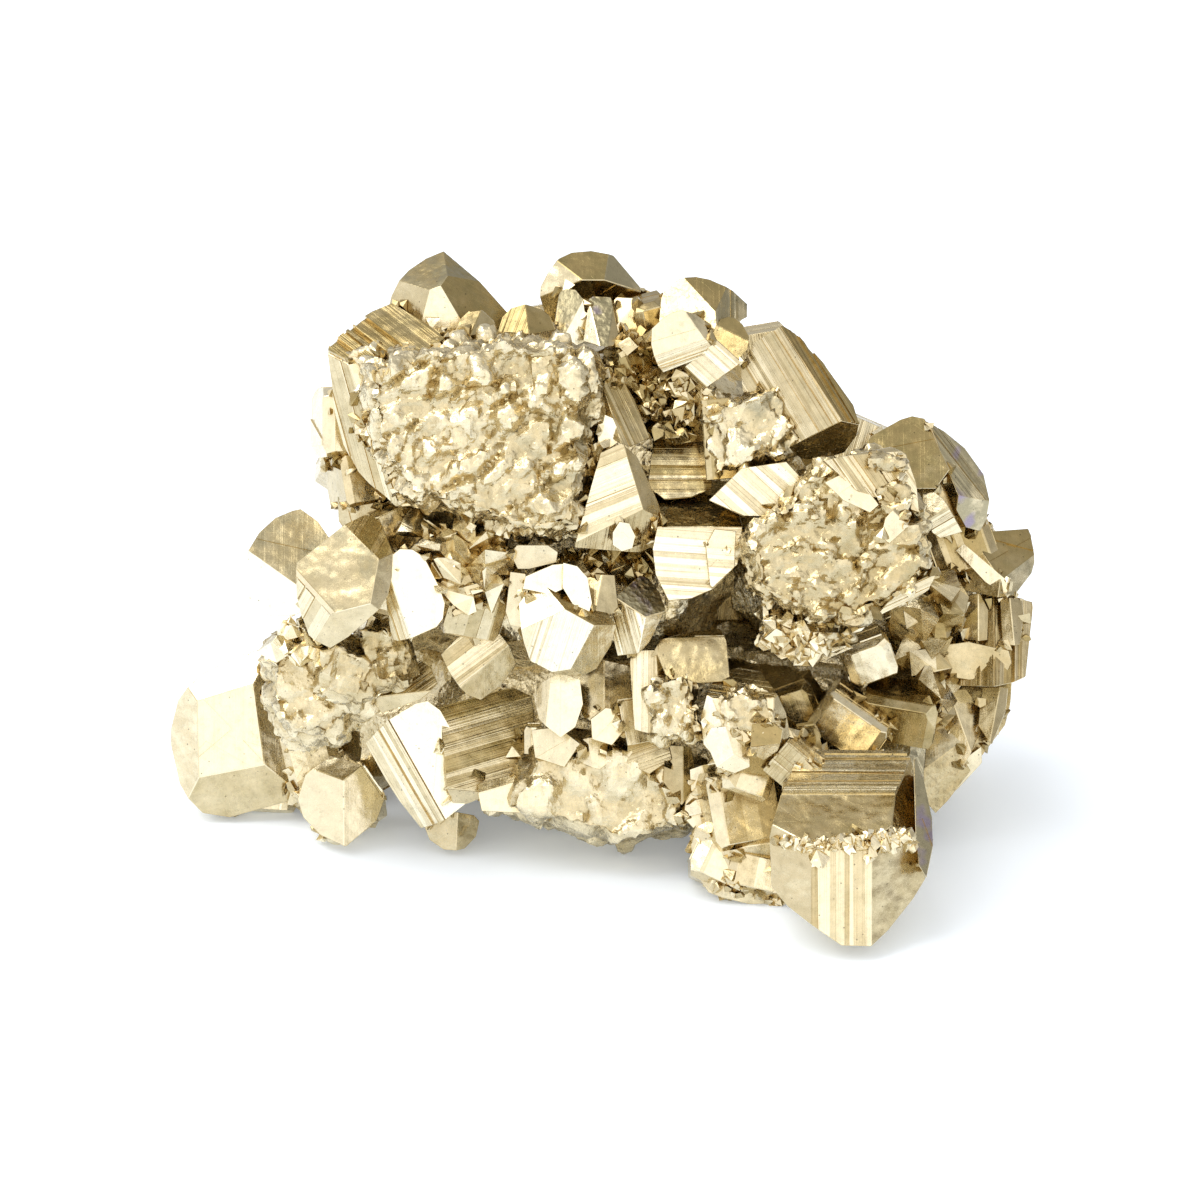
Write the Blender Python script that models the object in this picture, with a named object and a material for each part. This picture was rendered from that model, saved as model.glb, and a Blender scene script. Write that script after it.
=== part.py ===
"""A pyrite specimen: cubes, uneven crystals and broken lumps of pyrite grown together in one piece.

The crystals are set out face on, in millimetres: x to the right, y up and back away from the eye.
The finished cluster is then leant back by LEAN degrees, so that it stands on its lowest crystals.
"""

import math
import random

import bmesh
import bpy
from mathutils import Matrix, Vector, noise

MM = 0.001
LEAN = 22                      # degrees between the face-on frame and the standing cluster
GROUND = -29.6                 # height of the resting plane below the face-on centre, mm
MIDDLE_RIGHT, MIDDLE_BACK = 0.1, 7.15  # centre of the standing cluster's footprint, mm
BREAK_DEPTH = 0.8              # how far the broken surfaces go in and out, mm
BREAK_GRAIN = 3.6              # width of one lump on a broken surface, mm
BLOCK_ROUNDING = 0.12          # flats on the edges of a broken block, as a share of its smallest side
LUMP_BACK = 0.8                # width of a lump's hidden end, as a share of its outline
HIDDEN_SEED = 7                # the crystals on the back and the underside
STEP_LENGTH = 0.97             # how much of a block's width its growth steps take up
CLEARANCE = 10                 # how far a faceted crystal's uncut block reaches past it, mm
SMALLEST_EDGE = 0.02           # corners closer together than this are one, mm
ON_PLANE = 1e-5                # corners this close to a cutting plane lie on it, mm

for leftover in list(bpy.data.objects):
    bpy.data.objects.remove(leftover, do_unlink=True)

crystals = bmesh.new()         # every crystal as its own closed shell, before they are united


def placing(at, turn):
    """From a crystal's own axes to the face-on frame; back becomes minus z."""
    spin, tip, swing = (math.radians(angle) for angle in turn)
    turned = Matrix.Rotation(spin, 4, "Z") @ Matrix.Rotation(swing, 4, "Y") @ Matrix.Rotation(tip, 4, "X")
    return Matrix.Translation((at[0], at[1], -at[2])) @ turned


def add_shell(shell, matrix):
    """Copies one closed shell into the cluster's mesh and frees it."""
    bmesh.ops.remove_doubles(shell, verts=shell.verts, dist=SMALLEST_EDGE)
    bmesh.ops.recalc_face_normals(shell, faces=shell.faces)
    bmesh.ops.transform(shell, matrix=matrix, verts=shell.verts)
    copy = bpy.data.meshes.new("shell")
    shell.to_mesh(copy)
    crystals.from_mesh(copy)
    bpy.data.meshes.remove(copy)
    shell.free()


def slice_off(shell, point, normal):
    """Cuts off what lies past the plane through a point, leaving a flat face."""
    parts = shell.verts[:] + shell.edges[:] + shell.faces[:]
    bmesh.ops.bisect_plane(shell, geom=parts, plane_co=point, plane_no=Vector(normal).normalized(),
                           dist=ON_PLANE, clear_outer=True)
    rim = [edge for edge in shell.edges if edge.is_boundary]
    if len(rim) > 2:
        bmesh.ops.contextual_create(shell, geom=rim)


def cut_flat(shell, normal, reach):
    """Leaves a flat face at this distance from the crystal's centre."""
    direction = Vector(normal).normalized()
    slice_off(shell, direction * reach, direction)


def block_of(size):
    shell = bmesh.new()
    bmesh.ops.create_cube(shell, size=1)
    bmesh.ops.scale(shell, vec=size, verts=shell.verts)
    return shell


def pyrite_normals():
    """The twelve face directions of a pyritohedron."""
    for first in range(3):
        second = (first + 1) % 3
        for long_side in (2, -2):
            for short_side in (1, -1):
                normal = [0, 0, 0]
                normal[first], normal[second] = long_side, short_side
                yield Vector(normal).normalized()


def corner_reach(normal, size):
    return sum(abs(n) * side / 2 for n, side in zip(normal, size))


def cube(at, size, turn, edge=0.0, corner=0.0):
    """A cube or a long block, with pyritohedral edges and cut corners.

    edge and corner are how deep those flats go in.
    """
    shell = block_of(size)
    for normal in pyrite_normals() if edge else ():
        cut_flat(shell, normal, corner_reach(normal, size) - edge)
    if corner:
        for x in (1, -1):
            for y in (1, -1):
                for z in (1, -1):
                    normal = Vector((x, y, z)).normalized()
                    cut_flat(shell, normal, corner_reach(normal, size) - corner)
    add_shell(shell, placing(at, turn))


def faceted(outline, faces, back, taper=0.25):
    """An uneven crystal, from its outline seen face on and the flats that show inside that outline.

    outline is its corners as (x, y), clockwise. Each of faces is a point (x, y, depth) on the flat, and
    how much deeper the flat gets per millimetre to the right and per millimetre up. back is the depth of
    its hidden end, and taper how far its sides draw in per millimetre towards that end.
    """
    def depth_at(x, y):
        return max(depth + right * (x - px) + up * (y - py) for (px, py, depth), (right, up) in faces)

    low = [min(corner[axis] for corner in outline) for axis in (0, 1)]
    high = [max(corner[axis] for corner in outline) for axis in (0, 1)]
    front = CLEARANCE - min(depth_at(x, y) for x, y in outline)
    shell = block_of((high[0] - low[0] + CLEARANCE, high[1] - low[1] + CLEARANCE, front + back))
    bmesh.ops.translate(shell, vec=((low[0] + high[0]) / 2, (low[1] + high[1]) / 2, (front - back) / 2),
                        verts=shell.verts)
    for (x, y, depth), (right, up) in faces:
        slice_off(shell, (x, y, -depth), (right, up, 1))
    for (x, y), (next_x, next_y) in zip(outline, outline[1:] + outline[:1]):
        length = math.hypot(next_x - x, next_y - y)
        depth = depth_at((x + next_x) / 2, (y + next_y) / 2)
        slice_off(shell, (x, y, -depth), (y - next_y, next_x - x, -taper * length))
    add_shell(shell, Matrix.Identity(4))


def growth_steps(at, size, turn, strips):
    """Thin slabs standing proud of the front of a block, each (start, end, rise).

    start and end are shares of the block's height, and rise is in millimetres.
    """
    across, height, depth = size
    for start, end, rise in strips:
        shell = block_of((across * STEP_LENGTH, height * (end - start), depth / 2 + rise))
        middle = (0, height * ((start + end) / 2 - 0.5), (depth / 2 + rise) / 2)
        add_shell(shell, placing(at, turn) @ Matrix.Translation(middle))


def break_up(shell, seed, depth, grain):
    """Turns smooth faces into a lumpy fracture: splits the long edges, then moves each point in or out."""
    for _ in range(4):
        long_edges = [edge for edge in shell.edges if edge.calc_length() > grain * 1.5]
        if not long_edges:
            break
        bmesh.ops.subdivide_edges(shell, edges=long_edges, cuts=1)
        bmesh.ops.triangulate(shell, faces=shell.faces)
    shell.normal_update()
    offset = Vector((seed * 7.3, seed * 3.1, seed * 5.7))
    moves = [(point, point.normal * (depth * 2 * noise.noise(point.co / grain + offset)))
             for point in shell.verts]
    for point, move in moves:
        point.co += move


def lump(at, depth, outline, seed, front=0.72, rough=1.0):
    """A broken lump: a rounded body with this outline, seen face on, and a fractured surface.

    front is the width of its front, as a share of the outline.
    """
    shell = bmesh.new()
    for x, y in outline:
        right, up = x - at[0], y - at[1]
        shell.verts.new((right, up, 0))
        shell.verts.new((right * front, up * front, depth / 2))
        shell.verts.new((right * LUMP_BACK, up * LUMP_BACK, -depth / 2))
    hull = bmesh.ops.convex_hull(shell, input=shell.verts)
    bmesh.ops.delete(shell, geom=hull["geom_interior"], context="VERTS")
    if rough:
        break_up(shell, seed, BREAK_DEPTH * rough, BREAK_GRAIN)
    add_shell(shell, placing(at, (0, 0, 0)))


def broken_block(at, size, turn, seed):
    """A block whose faces are all broken."""
    shell = block_of(size)
    for normal in pyrite_normals():
        cut_flat(shell, normal, corner_reach(normal, size) - min(size) * BLOCK_ROUNDING)
    bmesh.ops.triangulate(shell, faces=shell.faces)
    break_up(shell, seed, BREAK_DEPTH * 0.6, BREAK_GRAIN * 0.8)
    add_shell(shell, placing(at, turn))


# The crown, left: an uneven point with a steep side towards the right, and small crystals beside it.
faceted([(-21.4, 27), (-21.3, 29.3), (-20.8, 31), (-19.8, 32.6), (-18, 34.1), (-15.7, 35.1), (-14.8, 34.5),
         (-10, 30), (-9, 28.4), (-10, 26.5), (-16, 25.5)],
        [((-15.5, 32.3, 1.5), (-0.5, 1.3)), ((-15.3, 32.0, 1.4), (0.1, 0.6)),
         ((-15.1, 32.3, 1.5), (1.1, 1.6)), ((-17.6, 30.8, 0.4), (-0.2, 0.1)),
         ((-17.8, 30.8, 0.4), (-0.9, 0.2))], back=9)
cube((-12.0, 27.6, 3), (4, 4, 4), (20, 30, 10), edge=0.5)
cube((-7.3, 27.0, 4), (5.5, 5, 5), (10, 40, 0), edge=0.8, corner=0.6)

# The crown, middle: a large crystal behind three short columns.
faceted([(-6, 29), (-6, 31.5), (-5.2, 33), (-4.3, 34.2), (-3.2, 34.9), (-1, 35.2), (1.5, 34.7), (3, 32.8),
         (4, 31.5), (4, 29.5), (0, 28), (-5, 28)],
        [((-2, 32.3, 4), (-0.45, 0.2)), ((-2, 32.3, 4), (0.1, 0.9)), ((0.2, 32.5, 4.2), (0.7, 0.8)),
         ((-2, 32, 4), (0.1, -1.2))], back=12)
faceted([(-4.5, 27), (-4.4, 30), (-4, 31), (-3.2, 31.3), (-2.2, 31), (-1.7, 30), (-1, 26), (-2.5, 25.5)],
        [((-2, 29.5, 2.2), (-0.6, 0.5)), ((-2, 29.5, 2.2), (0.35, 0))], back=9)
faceted([(-1.5, 25.5), (-1.4, 30), (-0.8, 30.5), (1.2, 30.4), (1.6, 29), (1.8, 26), (1.2, 25.3)],
        [((0, 28, 1.4), (0.05, 0.7)), ((-0.7, 28, 1.4), (-0.8, 0.5)), ((1.2, 28, 1.5), (0.7, 0.6))], back=8)
faceted([(1.2, 27), (1.2, 30), (1.8, 30.5), (3.4, 30.2), (4, 29), (4.3, 26.6), (3, 26.2), (1.6, 26.4)],
        [((3.3, 29.5, 2.4), (-0.4, 0.3)), ((3.3, 29.5, 2.4), (0.35, -0.09))], back=9)
cube((5.0, 28.5, 5), (4, 4, 5), (15, 20, 10), edge=0.4)

# The crown, right: a dark crystal, a striated cube, an amber one and a pale slab.
faceted([(6, 27.5), (6, 29.8), (6.4, 31), (7.2, 31.8), (8, 32.2), (9.7, 32.4), (11.2, 32.1), (13, 31.2),
         (14.2, 30.3), (14.9, 29.6), (14.6, 27.6), (10, 26.5)],
        [((9.8, 31, 1.8), (-0.35, 0.25)), ((9.8, 31, 1.8), (0.15, 0.85)), ((12.2, 30.3, 1.6), (0.9, 0.5))],
        back=9)
faceted([(5.1, 25.3), (5.1, 27), (6, 27.9), (7, 28.6), (8, 28.9), (9.3, 28.7), (10.5, 27.9), (10.9, 26.5),
         (11.2, 25), (10.2, 24.2), (6.2, 22.7), (5.5, 23.8)],
        [((8, 25.25, -2.5), (0.05, 0.12)), ((8, 25.25, -2.5), (0.25, -0.46)), ((9.5, 27.5, -2.1), (0.6, 0.5))],
        back=4)
faceted([(11.2, 26.5), (11.8, 28), (12.8, 28.4), (13.8, 28.1), (14.6, 27.2), (15, 26), (14.6, 24.8), (13.8, 24),
         (12.8, 24.7), (11.7, 25.7)],
        [((13, 26.8, -0.8), (0.1, 0.8)), ((13, 26.8, -0.8), (-0.1, 0.3))], back=4)
faceted([(7.9, 23), (8.6, 23.6), (11.8, 25.9), (14.1, 23.8), (10.6, 21), (10, 20.6)],
        [((11, 23.5, -1.6), (-0.15, -0.15)), ((8.6, 23.2, -1.2), (-0.67, -0.7))], back=3)

# The nook under the crown, full of small crystals.
cube((3.2, 24.0, 2.5), (4, 4, 4), (30, 20, 20), edge=0.3)
cube((5.5, 20.5, 2.5), (4, 4.5, 4), (-20, 20, -20), edge=0.3)
cube((8.0, 20.5, 3), (4, 4, 4), (15, 30, 0), edge=0.3)
cube((8.5, 17.5, 4), (5, 4, 4), (35, 10, 0), edge=0.3)

# The striated prism on the right shoulder, and the broken saddle beside it.
faceted([(14.2, 21), (14.2, 23.7), (15.7, 26), (18.2, 27.3), (19.3, 26.8), (22.8, 23), (25.5, 19),
         (25.8, 17.2), (25, 15), (22.2, 14), (19.5, 14.2), (16, 17)],
        [((18.2, 27, -1.8), (-0.35, -0.05)), ((18.2, 27, -1.8), (0.8, 0.69)), ((20.4, 16, -2), (0.36, -1.5))],
        back=7)
cube((21.8, 17.6, 5), (5, 6, 5), (31, 0, -20))
broken_block((14.8, 17.0, 1), (9, 8, 8), (15, 0, 0), seed=11)
cube((12.0, 16.3, 1.5), (4.5, 8, 6), (5, 5, 10))
BANDED = {"at": (8.0, 13.3, 4), "size": (6.8, 6.8, 6), "turn": (0, 15, 0)}
cube(**BANDED)
growth_steps(**BANDED, strips=((0.1, 0.3, 0.4), (0.5, 0.62, 0.4)))
faceted([(10.9, 9.9), (13.8, 13), (18.5, 13.9), (20.3, 12), (19.5, 10), (18.3, 8.2), (14, 8.4)],
        [((15, 11, -4), (0.15, 0.1))], back=4)

# The stepped block in the middle, the slab above it and the block with the round flat.
faceted([(5.2, 5), (6, 9), (7.5, 10.3), (10, 10.8), (14.6, 10), (14.2, 7), (13.7, 3.5), (11.2, 1), (9, 0.1),
         (6.8, -0.1), (5.5, 2.5)],
        [((10, 7.3, -3.5), (0.05, 0.03)), ((10, 7.3, -3.5), (0.05, 1.5))], back=6)
faceted([(10.2, 2), (10.4, 7.2), (13.6, 6.9), (13.4, 3.2), (11.2, 1.2)],
        [((10, 5, -3.9), (0.05, 0.03))], back=0)
faceted([(0.2, 18.5), (0.3, 21.5), (1.2, 22.9), (2.2, 22.3), (4, 19), (4.9, 16), (2.8, 15.3), (1.5, 15.8)],
        [((2, 19, -1.5), (0.35, 0.5)), ((1, 19, -1.8), (-0.6, 0.2))], back=4)
faceted([(-0.3, 17), (0.3, 18.6), (1.3, 18.2), (2.3, 16), (0.8, 15), (-0.2, 15.4)],
        [((1, 17, -2.6), (0.15, 0))], back=2)
faceted([(-2.5, 5.3), (-0.5, 13), (0, 14.6), (2, 15.6), (3.5, 14.6), (4.8, 12), (5.9, 9.5), (6.2, 8.3),
         (6, 6.5), (5, 5.2), (3.5, 4.5), (1.2, 4.7), (-1, 5)],
        [((4.3, 9, -4.5), (0.1, 0.05)), ((4.3, 9, -4.5), (0.8, 0.26)), ((4.3, 9, -4.5), (0.42, -0.6))], back=5)

# The big block on the upper left, broken off towards the front, and what shows past its left edge.
faceted([(-27.1, 25), (-25.5, 26.8), (-24, 28), (-21.5, 29.3), (-20, 29.6), (-17.5, 27.7), (-15.5, 26),
         (-15, 12), (-17, 9.5), (-20, 9.3), (-22, 10.6), (-23.8, 12.3), (-25.6, 15.5), (-26.7, 20)],
        [((-22, 24, -3.2), (-0.1, 1)), ((-22, 24, -3.2), (0.05, 0.02)), ((-25.7, 24.8, -3.3), (-0.8, -0.3))],
        back=9)
lump((-11, 16.5, -2), 12,
     [(-25.2, 24.4), (-22, 24.2), (-19.6, 25), (-16, 26.2), (-10, 26.9), (-4, 26.4), (-0.5, 24.5),
      (0.2, 20.5), (-1.4, 14.5), (-1, 6), (-6, 5.2), (-11, 7), (-16, 8.6), (-20, 9.8), (-21.8, 12),
      (-23.8, 16)], seed=21, front=0.84, rough=1.3)
cube((-26.2, 17.8, 3), (4.5, 7, 6), (0, 0, 15), edge=0.5)
cube((-24.3, 12.2, 4), (5, 5.5, 6), (10, 0, 20), edge=0.3)
faceted([(-26.3, 8), (-26.3, 10.5), (-24.5, 11), (-22, 10), (-21.5, 8), (-23, 6.5), (-25.5, 6.8)],
        [((-24, 9, 2.5), (-0.3, -0.2))], back=8)

# The broken lump on the right, with a striated end and torn layers under it.
lump((24.5, 6.2, -3), 12,
     [(20, 13), (24.3, 14.4), (28, 15.5), (30.5, 14.5), (31.8, 11), (33, 7), (33.2, 3), (32, 0.2),
      (28, -1.2), (26, -2.8), (20, -2.4), (14.2, 0.8), (14, 6), (17.5, 10)], seed=2, rough=1.2)
faceted([(24, 14.4), (28, 15.6), (29.5, 14.8), (30.5, 13), (30.5, 10), (28.5, 8), (26.5, 8.5), (25, 11)],
        [((27.5, 12, -8), (0.2, 0.2)), ((27.5, 14.3, -7.5), (0.1, 1.5))], back=-2)
lump((20.5, -3.5, -2), 5, [(15.3, -1), (25.5, -1.5), (25.8, -4), (20, -6), (15.5, -4.5)], seed=3)

# The far right side: one crystal above the other, well behind the rest.
faceted([(26, 15), (27.2, 16.4), (30, 18.1), (31.5, 18.6), (32.9, 18.3), (34.2, 15.6), (35.2, 13), (33.7, 11.2),
         (31.5, 11.2), (28.5, 12.5)], [((31, 15, 8), (0.05, 0.65))], back=22, taper=0.1)
faceted([(32.5, 18.3), (34.5, 17.2), (36.8, 15.4), (38.8, 12.6), (39.3, 10), (39.1, 8.2), (38.4, 6.9),
         (36.8, 7.4), (35.5, 10), (33.5, 14)],
        [((36, 12.5, 9), (0.55, 0.4)), ((35.3, 12.5, 8.7), (-1.2, -0.3))], back=22, taper=0.1)
faceted([(32.4, 9.5), (32.5, 11.2), (33.7, 11.4), (34.4, 10.3), (37.4, 7.7), (36.7, 6.9), (34.2, 6.2),
         (33.3, 6.9)],
        [((34.5, 9.2, 5.5), (-0.3, 0.25)), ((34.5, 9.2, 5.5), (0.15, -0.4))], back=18, taper=0.1)
faceted([(34.6, 2.5), (34.6, 5.5), (35.9, 6.4), (38, 6.8), (39.5, 8.1), (42.3, 8.1), (43.7, 7), (44.1, 5.3),
         (44.1, 3.5), (43.5, 2), (41.5, 0.2), (39.5, 0.4), (36, 1)],
        [((39.7, 3.3, 12), (-0.35, 0.3)), ((39.7, 3.3, 12), (0.4, 0.78)), ((41.8, 3, 12.6), (0.9, 0.1))],
        back=21)
faceted([(33.4, -2), (35, 0.6), (40.5, 0.5), (43.9, 0), (44.1, -2), (42.8, -8.1), (41, -8.6), (36.5, -8.9),
         (34, -8.1)], [((38, -4, 13), (-0.1, 0.1)), ((40.6, -4, 12.7), (0.6, 0.1))], back=22)
faceted([(33, -9.1), (38, -7.9), (42.1, -8.1), (41.4, -11.7), (40.6, -14.7), (39, -16.7), (36.5, -18.9),
         (34, -21.8), (33, -20.3)], [((37, -12, 14), (0.1, 0.2)), ((38, -14.5, 13.6), (0.4, -0.4))], back=24)

# The left arm, which reaches out and carries three clear crystals.
faceted([(-36, 2), (-35.5, 4.3), (-34.8, 6), (-33.2, 7.9), (-31.5, 8.8), (-30, 9.2), (-27.8, 7.4), (-26.5, 5),
         (-28, 0), (-30, -1.5), (-32.8, -1.8), (-34.9, -0.6)],
        [((-32, 2.7, 1), (0, 0.7)), ((-32, 2.7, 1), (-0.57, -0.35))], back=10)
faceted([(-30.3, 1), (-30.2, 3.8), (-27, 6.3), (-25, 7.8), (-23.8, 8.5), (-22.5, 8.4), (-21.3, 7), (-20.6, 4),
         (-20.7, 2), (-21.2, 0), (-23, -2.2), (-25.5, -4.2), (-27, -4.9), (-29, -3.6), (-29.9, -1)],
        [((-25, 3, -6), (-0.3, 0.2)), ((-22, 4, -6.7), (0.4, 0.9)), ((-26.2, -1.2, -6.5), (-0.52, 0)),
         ((-26.7, -1.6, -6.2), (-0.96, -0.4)), ((-22, 4, -6.7), (0.8, 0)), ((-26.2, -1.2, -6.5), (0, -1))],
        back=4)
faceted([(-21.6, 3.8), (-20, 5.1), (-18.7, 5.1), (-17.5, 4.3), (-16, 1.4), (-15.4, -0.3), (-15.6, -1.9),
         (-16.3, -2.8), (-19.5, -4.1), (-20.8, -4.1), (-21.4, 0)],
        [((-18.5, 1, -4.6), (0.15, 0.02)), ((-21.5, 3.8, -5), (-0.7, -0.28))], back=4)
cube((-15.5, 2.5, 1.5), (6, 7, 6), (20, 20, 0), edge=0.5)
cube((-13.0, -0.3, 1.5), (6, 6, 6), (-10, 20, 20), edge=0.5)
cube((-10.8, 3.6, 1), (5, 5, 6), (30, 25, -10), edge=0.3)
cube((-17.0, 6.0, 1.5), (6, 4.5, 6), (-35, 20, 0), edge=0.3)
broken_block((-21.5, -5.5, 1), (5, 7, 6), (10, 0, 0), seed=13)
broken_block((-25.0, -7.0, 2), (6.5, 6.5, 7), (-20, 10, 0), seed=14)
lump((-28.5, -8.5, 8), 12,
     [(-34.5, -6), (-33, -3.5), (-30, -1.5), (-25.5, -3), (-22.5, -7), (-23, -12), (-27, -15.5),
      (-31.5, -15), (-34.5, -11)], seed=4)

# The left feet, far back and low, and the long crystal between them and the middle.
faceted([(-43.9, -12.8), (-42.9, -9.7), (-40.9, -7.7), (-36.8, -5.6), (-34.5, -5), (-31.7, -10.2),
         (-30.7, -16.4), (-31.5, -20.4), (-37.8, -22.3), (-40.9, -21.7), (-42.7, -19.4), (-43.9, -15.3)],
        [((-38, -13, 20), (-0.1, 0.02)), ((-38, -9.5, 20), (0.05, 0.8)), ((-41.8, -14, 20.4), (-0.9, 0))],
        back=33)
cube((-35.5, -18.2, 27), (8.5, 6, 8), (-4, 10, 10), edge=0.5)
cube((-29.5, -16.5, 24), (6, 7, 7), (15, 0, 0), edge=0.5)
faceted([(-30.8, -20.3), (-30, -17.8), (-27.4, -15.7), (-24.4, -16.8), (-21.8, -20.3), (-22.9, -22.9),
         (-25.9, -24.9), (-27.9, -24.2), (-30, -22.4)],
        [((-26, -20, 14.5), (-0.35, 0.1)), ((-26, -20, 14.5), (0.5, 0.1)), ((-27, -18, 15), (0, 0.9))], back=27)
cube((-26.3, -20.3, 20), (7.5, 7.5, 7.5), (35, 10, 0), edge=0.8)
faceted([(-16.5, -11), (-13, -9.8), (-9, -8.8), (-6.7, -9.8), (-6.4, -16.5), (-9, -18.7), (-12.4, -20.3),
         (-15, -21)], [((-11, -14, 11), (0.2, 0.45)), ((-11, -18.6, 9), (0.1, -0.8))], back=20)
faceted([(-23.8, -14.3), (-22.5, -12.9), (-19, -10.6), (-17.5, -10.2), (-16.2, -11.1), (-13.2, -16.4),
         (-12.3, -18.8), (-13.4, -20.5), (-15.5, -22), (-17.9, -23.3), (-20, -20.8), (-21.8, -18)],
        [((-17, -15, 10), (0.15, 0.05)), ((-21.2, -12.2, 9.5), (-0.7, -0.43))], back=20)
faceted([(-18, -22.5), (-16.2, -21.5), (-13.2, -21.5), (-12.2, -22.3), (-12.6, -24.2), (-14, -25.4),
         (-15.7, -25.4), (-17.3, -24.4)],
        [((-14.5, -23.5, 13.5), (-0.3, -0.15)), ((-14.5, -23.5, 13.5), (0.8, -0.2))], back=20)
faceted([(-16, -5.5), (-14.5, -3.9), (-12.5, -2.7), (-11.2, -1.9), (-9.5, -4), (-8.2, -6.2), (-10, -8.7),
         (-12.2, -10.2), (-13.8, -9.2), (-15.3, -7)],
        [((-9.7, -5, 4), (0.1, 0)), ((-9.7, -5, 4), (0.6, -0.56))], back=12)
faceted([(-22.8, -10.2), (-20, -7.4), (-18, -5.9), (-16.8, -7), (-16.3, -8.5), (-17.5, -9.7), (-20.2, -10.9),
         (-21.8, -11.8)], [((-19, -8, 5), (-0.2, 0.3)), ((-19, -9.4, 4.6), (-0.1, -0.6))], back=12)
cube((-6.7, -15.5, 12), (2, 6, 3), (0, 0, 0), edge=0.3)

# The clear crystals in the middle: a twelve-sided one in front of a white one, and one with a flat end.
faceted([(-7.7, 1.4), (-7.6, 2.2), (-5.5, 3.1), (-3.8, 3.8), (-2.2, 2.9), (-1.3, 1.2), (-0.9, -1.3), (-4, -2),
         (-6.8, -0.5)], [((-3, 2, -4.6), (0.15, 0.1))], back=3)
faceted([(-1.8, 2.2), (0, 2.5), (1.6, 2.6), (1.8, -1.5), (-1, -1.5)],
        [((0, 1, -4.2), (-0.3, 0.35)), ((0, 1, -4.2), (0.45, 0.3))], back=3)
faceted([(-8.1, -0.3), (-6.5, 1), (-4.8, 2.4), (-3.4, 1.4), (1.6, -1.9), (1.8, -3.2), (0.2, -6.4), (-1.2, -7.9),
         (-4, -7.2), (-6.5, -6.1), (-7.4, -4)],
        [((-3.6, -1.1, -6.6), (-0.35, 0.2)), ((-3.6, -1.1, -6.6), (-0.12, -0.25)),
         ((-0.8, -2.5, -6.6), (0.63, -0.6)), ((-3.6, -1.1, -6.6), (0.45, 0.9))], back=2)
faceted([(-9, 4.6), (-8.2, 5.6), (-5, 5.4), (-4.2, 4.8), (-4.3, 3.8), (-6.5, 3.1), (-8.2, 3)],
        [((-6.5, 4.3, -3.4), (-0.25, -0.15))], back=3)
faceted([(-9.5, -1), (-8.9, 2.9), (-7.4, 2.6), (-7, 0), (-7.2, -2.8), (-9, -2.6)],
        [((-8.5, 0, -3.2), (-0.25, -0.1))], back=3)
cube((-3.5, 0.3, -0.5), (8, 7, 7), (10, 10, 0), edge=1.5)
faceted([(1.2, -3), (1.5, 0.2), (2.4, 1.3), (3.7, 2.6), (5, 2.1), (6.2, 0.3), (6.5, -1), (5, -4.2), (4, -5.2),
         (1.7, -5.7)],
        [((4.5, -1.7, -3.6), (0.35, 0.5)), ((4.5, -1.7, -3.6), (-0.31, -0.3)),
         ((4.6, -1.8, -3.5), (0.7, -0.5))], back=3)

# The lower middle, from the olive block down to the arched underside.
faceted([(-6.8, -9.5), (-5.5, -8), (-4, -7.3), (-2, -8), (-1.7, -10.5), (-2.5, -12.8), (-4, -13.8),
         (-6, -12.2)],
        [((-5.2, -10, 4.2), (-0.6, 0.1)), ((-5.2, -10, 4.2), (0.1, 0.02))], back=11)
faceted([(-1, -12), (0.5, -10.8), (2.2, -11), (2.6, -13), (1.2, -14.6), (-0.8, -14)],
        [((0.8, -12.5, 4.5), (0.05, 0.1))], back=10)
faceted([(3, -6), (3.2, -5), (6, -5), (6.4, -7), (6.6, -12), (5.5, -13.5), (3.4, -13)],
        [((4.7, -9, 0.5), (-0.1, -0.05)), ((5.9, -9, 0.4), (0.8, 0))], back=7)
cube((3.5, -12.2, 6), (3, 4.5, 4), (10, 0, 10))
faceted([(5.4, -5), (6, -4), (9, -3.1), (12.2, -2.9), (12.8, -4.5), (12.9, -8.1), (10, -8.3), (6.8, -7.9)],
        [((9, -5.5, -0.8), (0.02, 0.5)), ((9, -3.6, 0.2), (0, 2))], back=12, taper=0.12)
broken_block((7.4, -10.8, -0.5), (5, 7, 5), (10, 0, 0), seed=15)
faceted([(10, -11.5), (10.8, -9), (11.5, -7.5), (14, -6.7), (16.6, -7.4), (18.5, -11), (19, -13.5), (18, -15.6),
         (16.5, -17.8), (14.5, -17.2), (12.2, -16.6), (10.3, -14.5)],
        [((14, -9.8, -3.6), (0, 1.3)), ((14, -9.8, -3.6), (0.02, 0.1)), ((12.3, -13, -3.9), (-0.8, -0.2)),
         ((16, -13.6, -3.9), (0.3, -0.5)), ((17.3, -12, -3.8), (1, 0.1))], back=10, taper=0.12)
cube((20.8, -14.0, 2), (2.5, 3, 3), (10, 10, 0), edge=0.3)
cube((19.8, -16.5, -1), (4.6, 4, 4.5), (-40, 20, 0))
cube((14.5, -17.8, 1), (5, 4, 5), (-20, -10, 10), edge=0.3)
lump((0, -19.5, 14), 13,
     [(-7, -14.5), (0, -14), (6, -14.5), (10, -19), (10, -24), (5, -24.7), (1.8, -25.3),
      (-2.5, -23.8), (-5.5, -22), (-10, -21.2), (-12.2, -21.5), (-10, -18)], seed=5)
cube((12.8, -26.3, 6), (7, 6, 7), (-25, -5, 0), edge=0.6)
cube((15.8, -27.3, 5), (7, 4.5, 6), (-12, 0, 0), edge=0.6)
cube((14.2, -20.8, 5), (8, 8, 7), (10, 0, 15), edge=0.5)

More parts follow.
